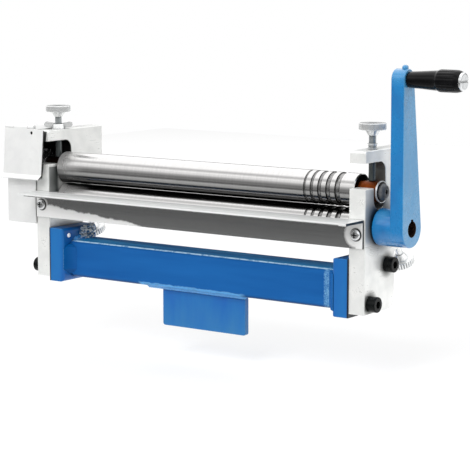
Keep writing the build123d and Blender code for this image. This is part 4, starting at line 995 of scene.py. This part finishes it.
sockets = {"Vector": surface_point(wire), "Scale": spangles_a_metre}
spangle = wire.node("ShaderNodeTexVoronoi", {}, sockets, "Color")
spangle = wire.node("ShaderNodeSeparateColor", {}, {"Color": spangle})
clouds = grain(wire, 0.02, detail=4.0)
pale = between(spread(clouds, 0.35, 0.7), cover_pale, cover_cloud)
pale = between(spangle * 0.12, pale, cover_spangle)
pale = between(edge, pale, cover_edge)
# Painted shade darkens the corners.
pale = between(occlusion_shade(wire, 0.004) * 0.6, pale, cover_shade)
# Inside the box the sheet is painted black as painted shade.
pale = between(inside(wire, oily_low, oily_high, 0.0001), pale, cover_inside_shade)
# The flap's edge that faces right is painted dark as painted shade, and the box's edges along the plate
# stay pale like its sheet.
past_box = spread(place_along(wire, "X"), cover_high[0] + 0.0004, cover_high[0] + 0.0008)
flap_edge_shade = spread(facing(wire, "X"), 0.7, 0.9) * past_box
pale = between(flap_edge_shade * 0.95, pale, flap_edge_dark)
close_finish(wire, {
    "Base Color": pale,
    "Metallic": 0.35,
    "Roughness": spread(spangle * 0.4 + clouds * 0.6, 0.2, 0.8, 0.28, 0.44),
    "Normal": relief(clouds, 0.00004, rounded),
})
dress(["gear_cover", "gear_cover_flap"], cover_sheet)

# Studio. A pale floor lies just below the crank's swing, as under a machine that a vise holds by its
# tab. The lamps are soft, and the room that the steel mirrors is white overhead and dim in front.
crank_swing = cad_corners[1][2] - shaft_z
floor_z = shaft_z - crank_swing - 0.001
floor_front, floor_back, floor_side = -0.42, 1.9, 1.5
floor_corners = [(-floor_side, floor_front, floor_z), (floor_side, floor_front, floor_z)]
floor_corners += [(floor_side, floor_back, floor_z), (-floor_side, floor_back, floor_z)]
floor_data = bpy.data.meshes.new("floor")
floor_data.from_pydata(floor_corners, [], [(0, 1, 2, 3)])
floor = bpy.data.objects.new("floor", floor_data)
bpy.context.scene.collection.objects.link(floor)
floor_paint, wire = new_finish("floor_paint")
seen = wire.node("ShaderNodeLightPath", output="Is Camera Ray")
mirrored = wire.node("ShaderNodeLightPath", output="Is Glossy Ray")
through = wire.node("ShaderNodeLightPath", output="Is Transmission Ray")
depth = place_along(wire, "Y")
mirror_level = spread(depth, -0.25, 0.02, 0.20, 1.0) * spread(depth, 0.35, 1.25, 1.5, 0.8)
level = wire.node("ShaderNodeMix", {}, {0: mirrored, 2: 1.12, 3: mirror_level})
glow = wire.node("ShaderNodeEmission", {}, {"Color": level})
paint = wire.node("ShaderNodeBsdfDiffuse", {}, {"Color": (0.9, 0.9, 0.9, 1)})
share = wire.math("MINIMUM", seen * 0.6 + mirrored * 0.85 + through * 0.6, 1.0)
blend = wire.node("ShaderNodeMixShader", {}, {0: share, 1: paint, 2: glow})
wire.node("ShaderNodeOutputMaterial", {}, {"Surface": blend})
floor.data.materials.append(floor_paint)

room = bpy.data.worlds.new("room")
room.use_nodes = True
room.node_tree.nodes.clear()
bpy.context.scene.world = room
wire = Wire(room.node_tree)
direction = wire.node("ShaderNodeTexCoord", output="Generated")
turn = wire.math("ARCTAN2", direction.part("Z"), direction.part("Y") * -1.0)
turn = spread(turn, -math.pi, math.pi)


def stop(degrees, level):
    """A stop of the room's brightness: 0 degrees is level in front, 90 overhead, 180 level behind."""
    return ((degrees + 180) / 360, level)


brightness = wire.node("ShaderNodeValToRGB", {"stops": [
    stop(-180, 0.55), stop(-90, 0.40), stop(-50, 0.16), stop(-20, 0.11), stop(-8, 0.15), stop(-2, 0.13),
    stop(4, 0.19), stop(9, 0.25), stop(16, 0.35), stop(22, 0.50), stop(28, 0.68), stop(34, 0.62),
    stop(41, 0.85), stop(48, 0.56), stop(56, 0.42), stop(61, 0.45), stop(68, 0.70), stop(74, 0.90),
    stop(150, 0.88), stop(157, 0.70), stop(164, 0.32), stop(169, 0.08), stop(180, 0.05),
]}, {"Fac": turn})
mirror_room = brightness * 2.0
seen = wire.node("ShaderNodeLightPath", output="Is Camera Ray")
mirrored = wire.node("ShaderNodeLightPath", output="Is Glossy Ray")
even_level = 0.62
level = even_level + mirrored * (mirror_room - even_level)
level = level + seen * (1.0 - level)
sky = wire.node("ShaderNodeBackground", {}, {"Color": (1, 1, 1, 1), "Strength": level})
wire.node("ShaderNodeOutputWorld", {}, {"Surface": sky})


def hang_lamp(name, place, aim, width, power):
    """A soft square lamp at a place, turned to aim at another."""
    data = bpy.data.lights.new(name, "AREA")
    data.size = width
    data.energy = power
    lamp = bpy.data.objects.new(name, data)
    lamp.location = place
    lamp.rotation_euler = (Vector(aim) - Vector(place)).to_track_quat("-Z", "Y").to_euler()
    lamp.visible_glossy = False
    lamp.visible_camera = False
    bpy.context.scene.collection.objects.link(lamp)


machine_middle = (0.0, 0.0, 0.08)
hang_lamp("key_lamp", (0.3, -1.7, 1.4), machine_middle, 1.0, 30.0)
hang_lamp("side_lamp", (1.7, 0.5, 1.1), machine_middle, 1.0, 7.0)
hang_lamp("back_lamp", (-0.9, 1.5, 1.3), machine_middle, 1.0, 10.0)
hang_lamp("left_lamp", (-1.0, -0.9, 0.5), (-0.25, 0.0, 0.12), 0.6, 2.2)

# Camera. It looks at the machine from its right front, a little from above, through a long lens, and
# was fitted to the edges and circles of the photograph.
eye = Vector((0.91692, -1.24826, 0.29365))
right = Vector((0.8163, 0.5776, 0.0)).normalized()
back = Vector((0.5716, -0.8078, 0.1437)).normalized()
up = back.cross(right).normalized()
camera_data = bpy.data.cameras.new("camera")
camera_data.sensor_fit = "HORIZONTAL"
camera_data.sensor_width = 36.0
camera_data.lens = 137.87
camera_data.clip_start = 0.05
camera_data.clip_end = 50.0
camera = bpy.data.objects.new("camera", camera_data)
turning = Matrix((right, up, back)).transposed().to_4x4()
camera.matrix_world = Matrix.Translation(eye) @ turning
bpy.context.scene.collection.objects.link(camera)
bpy.context.scene.camera = camera
bpy.context.scene.view_settings.view_transform = "Standard"

bpy.context.view_layer.update()
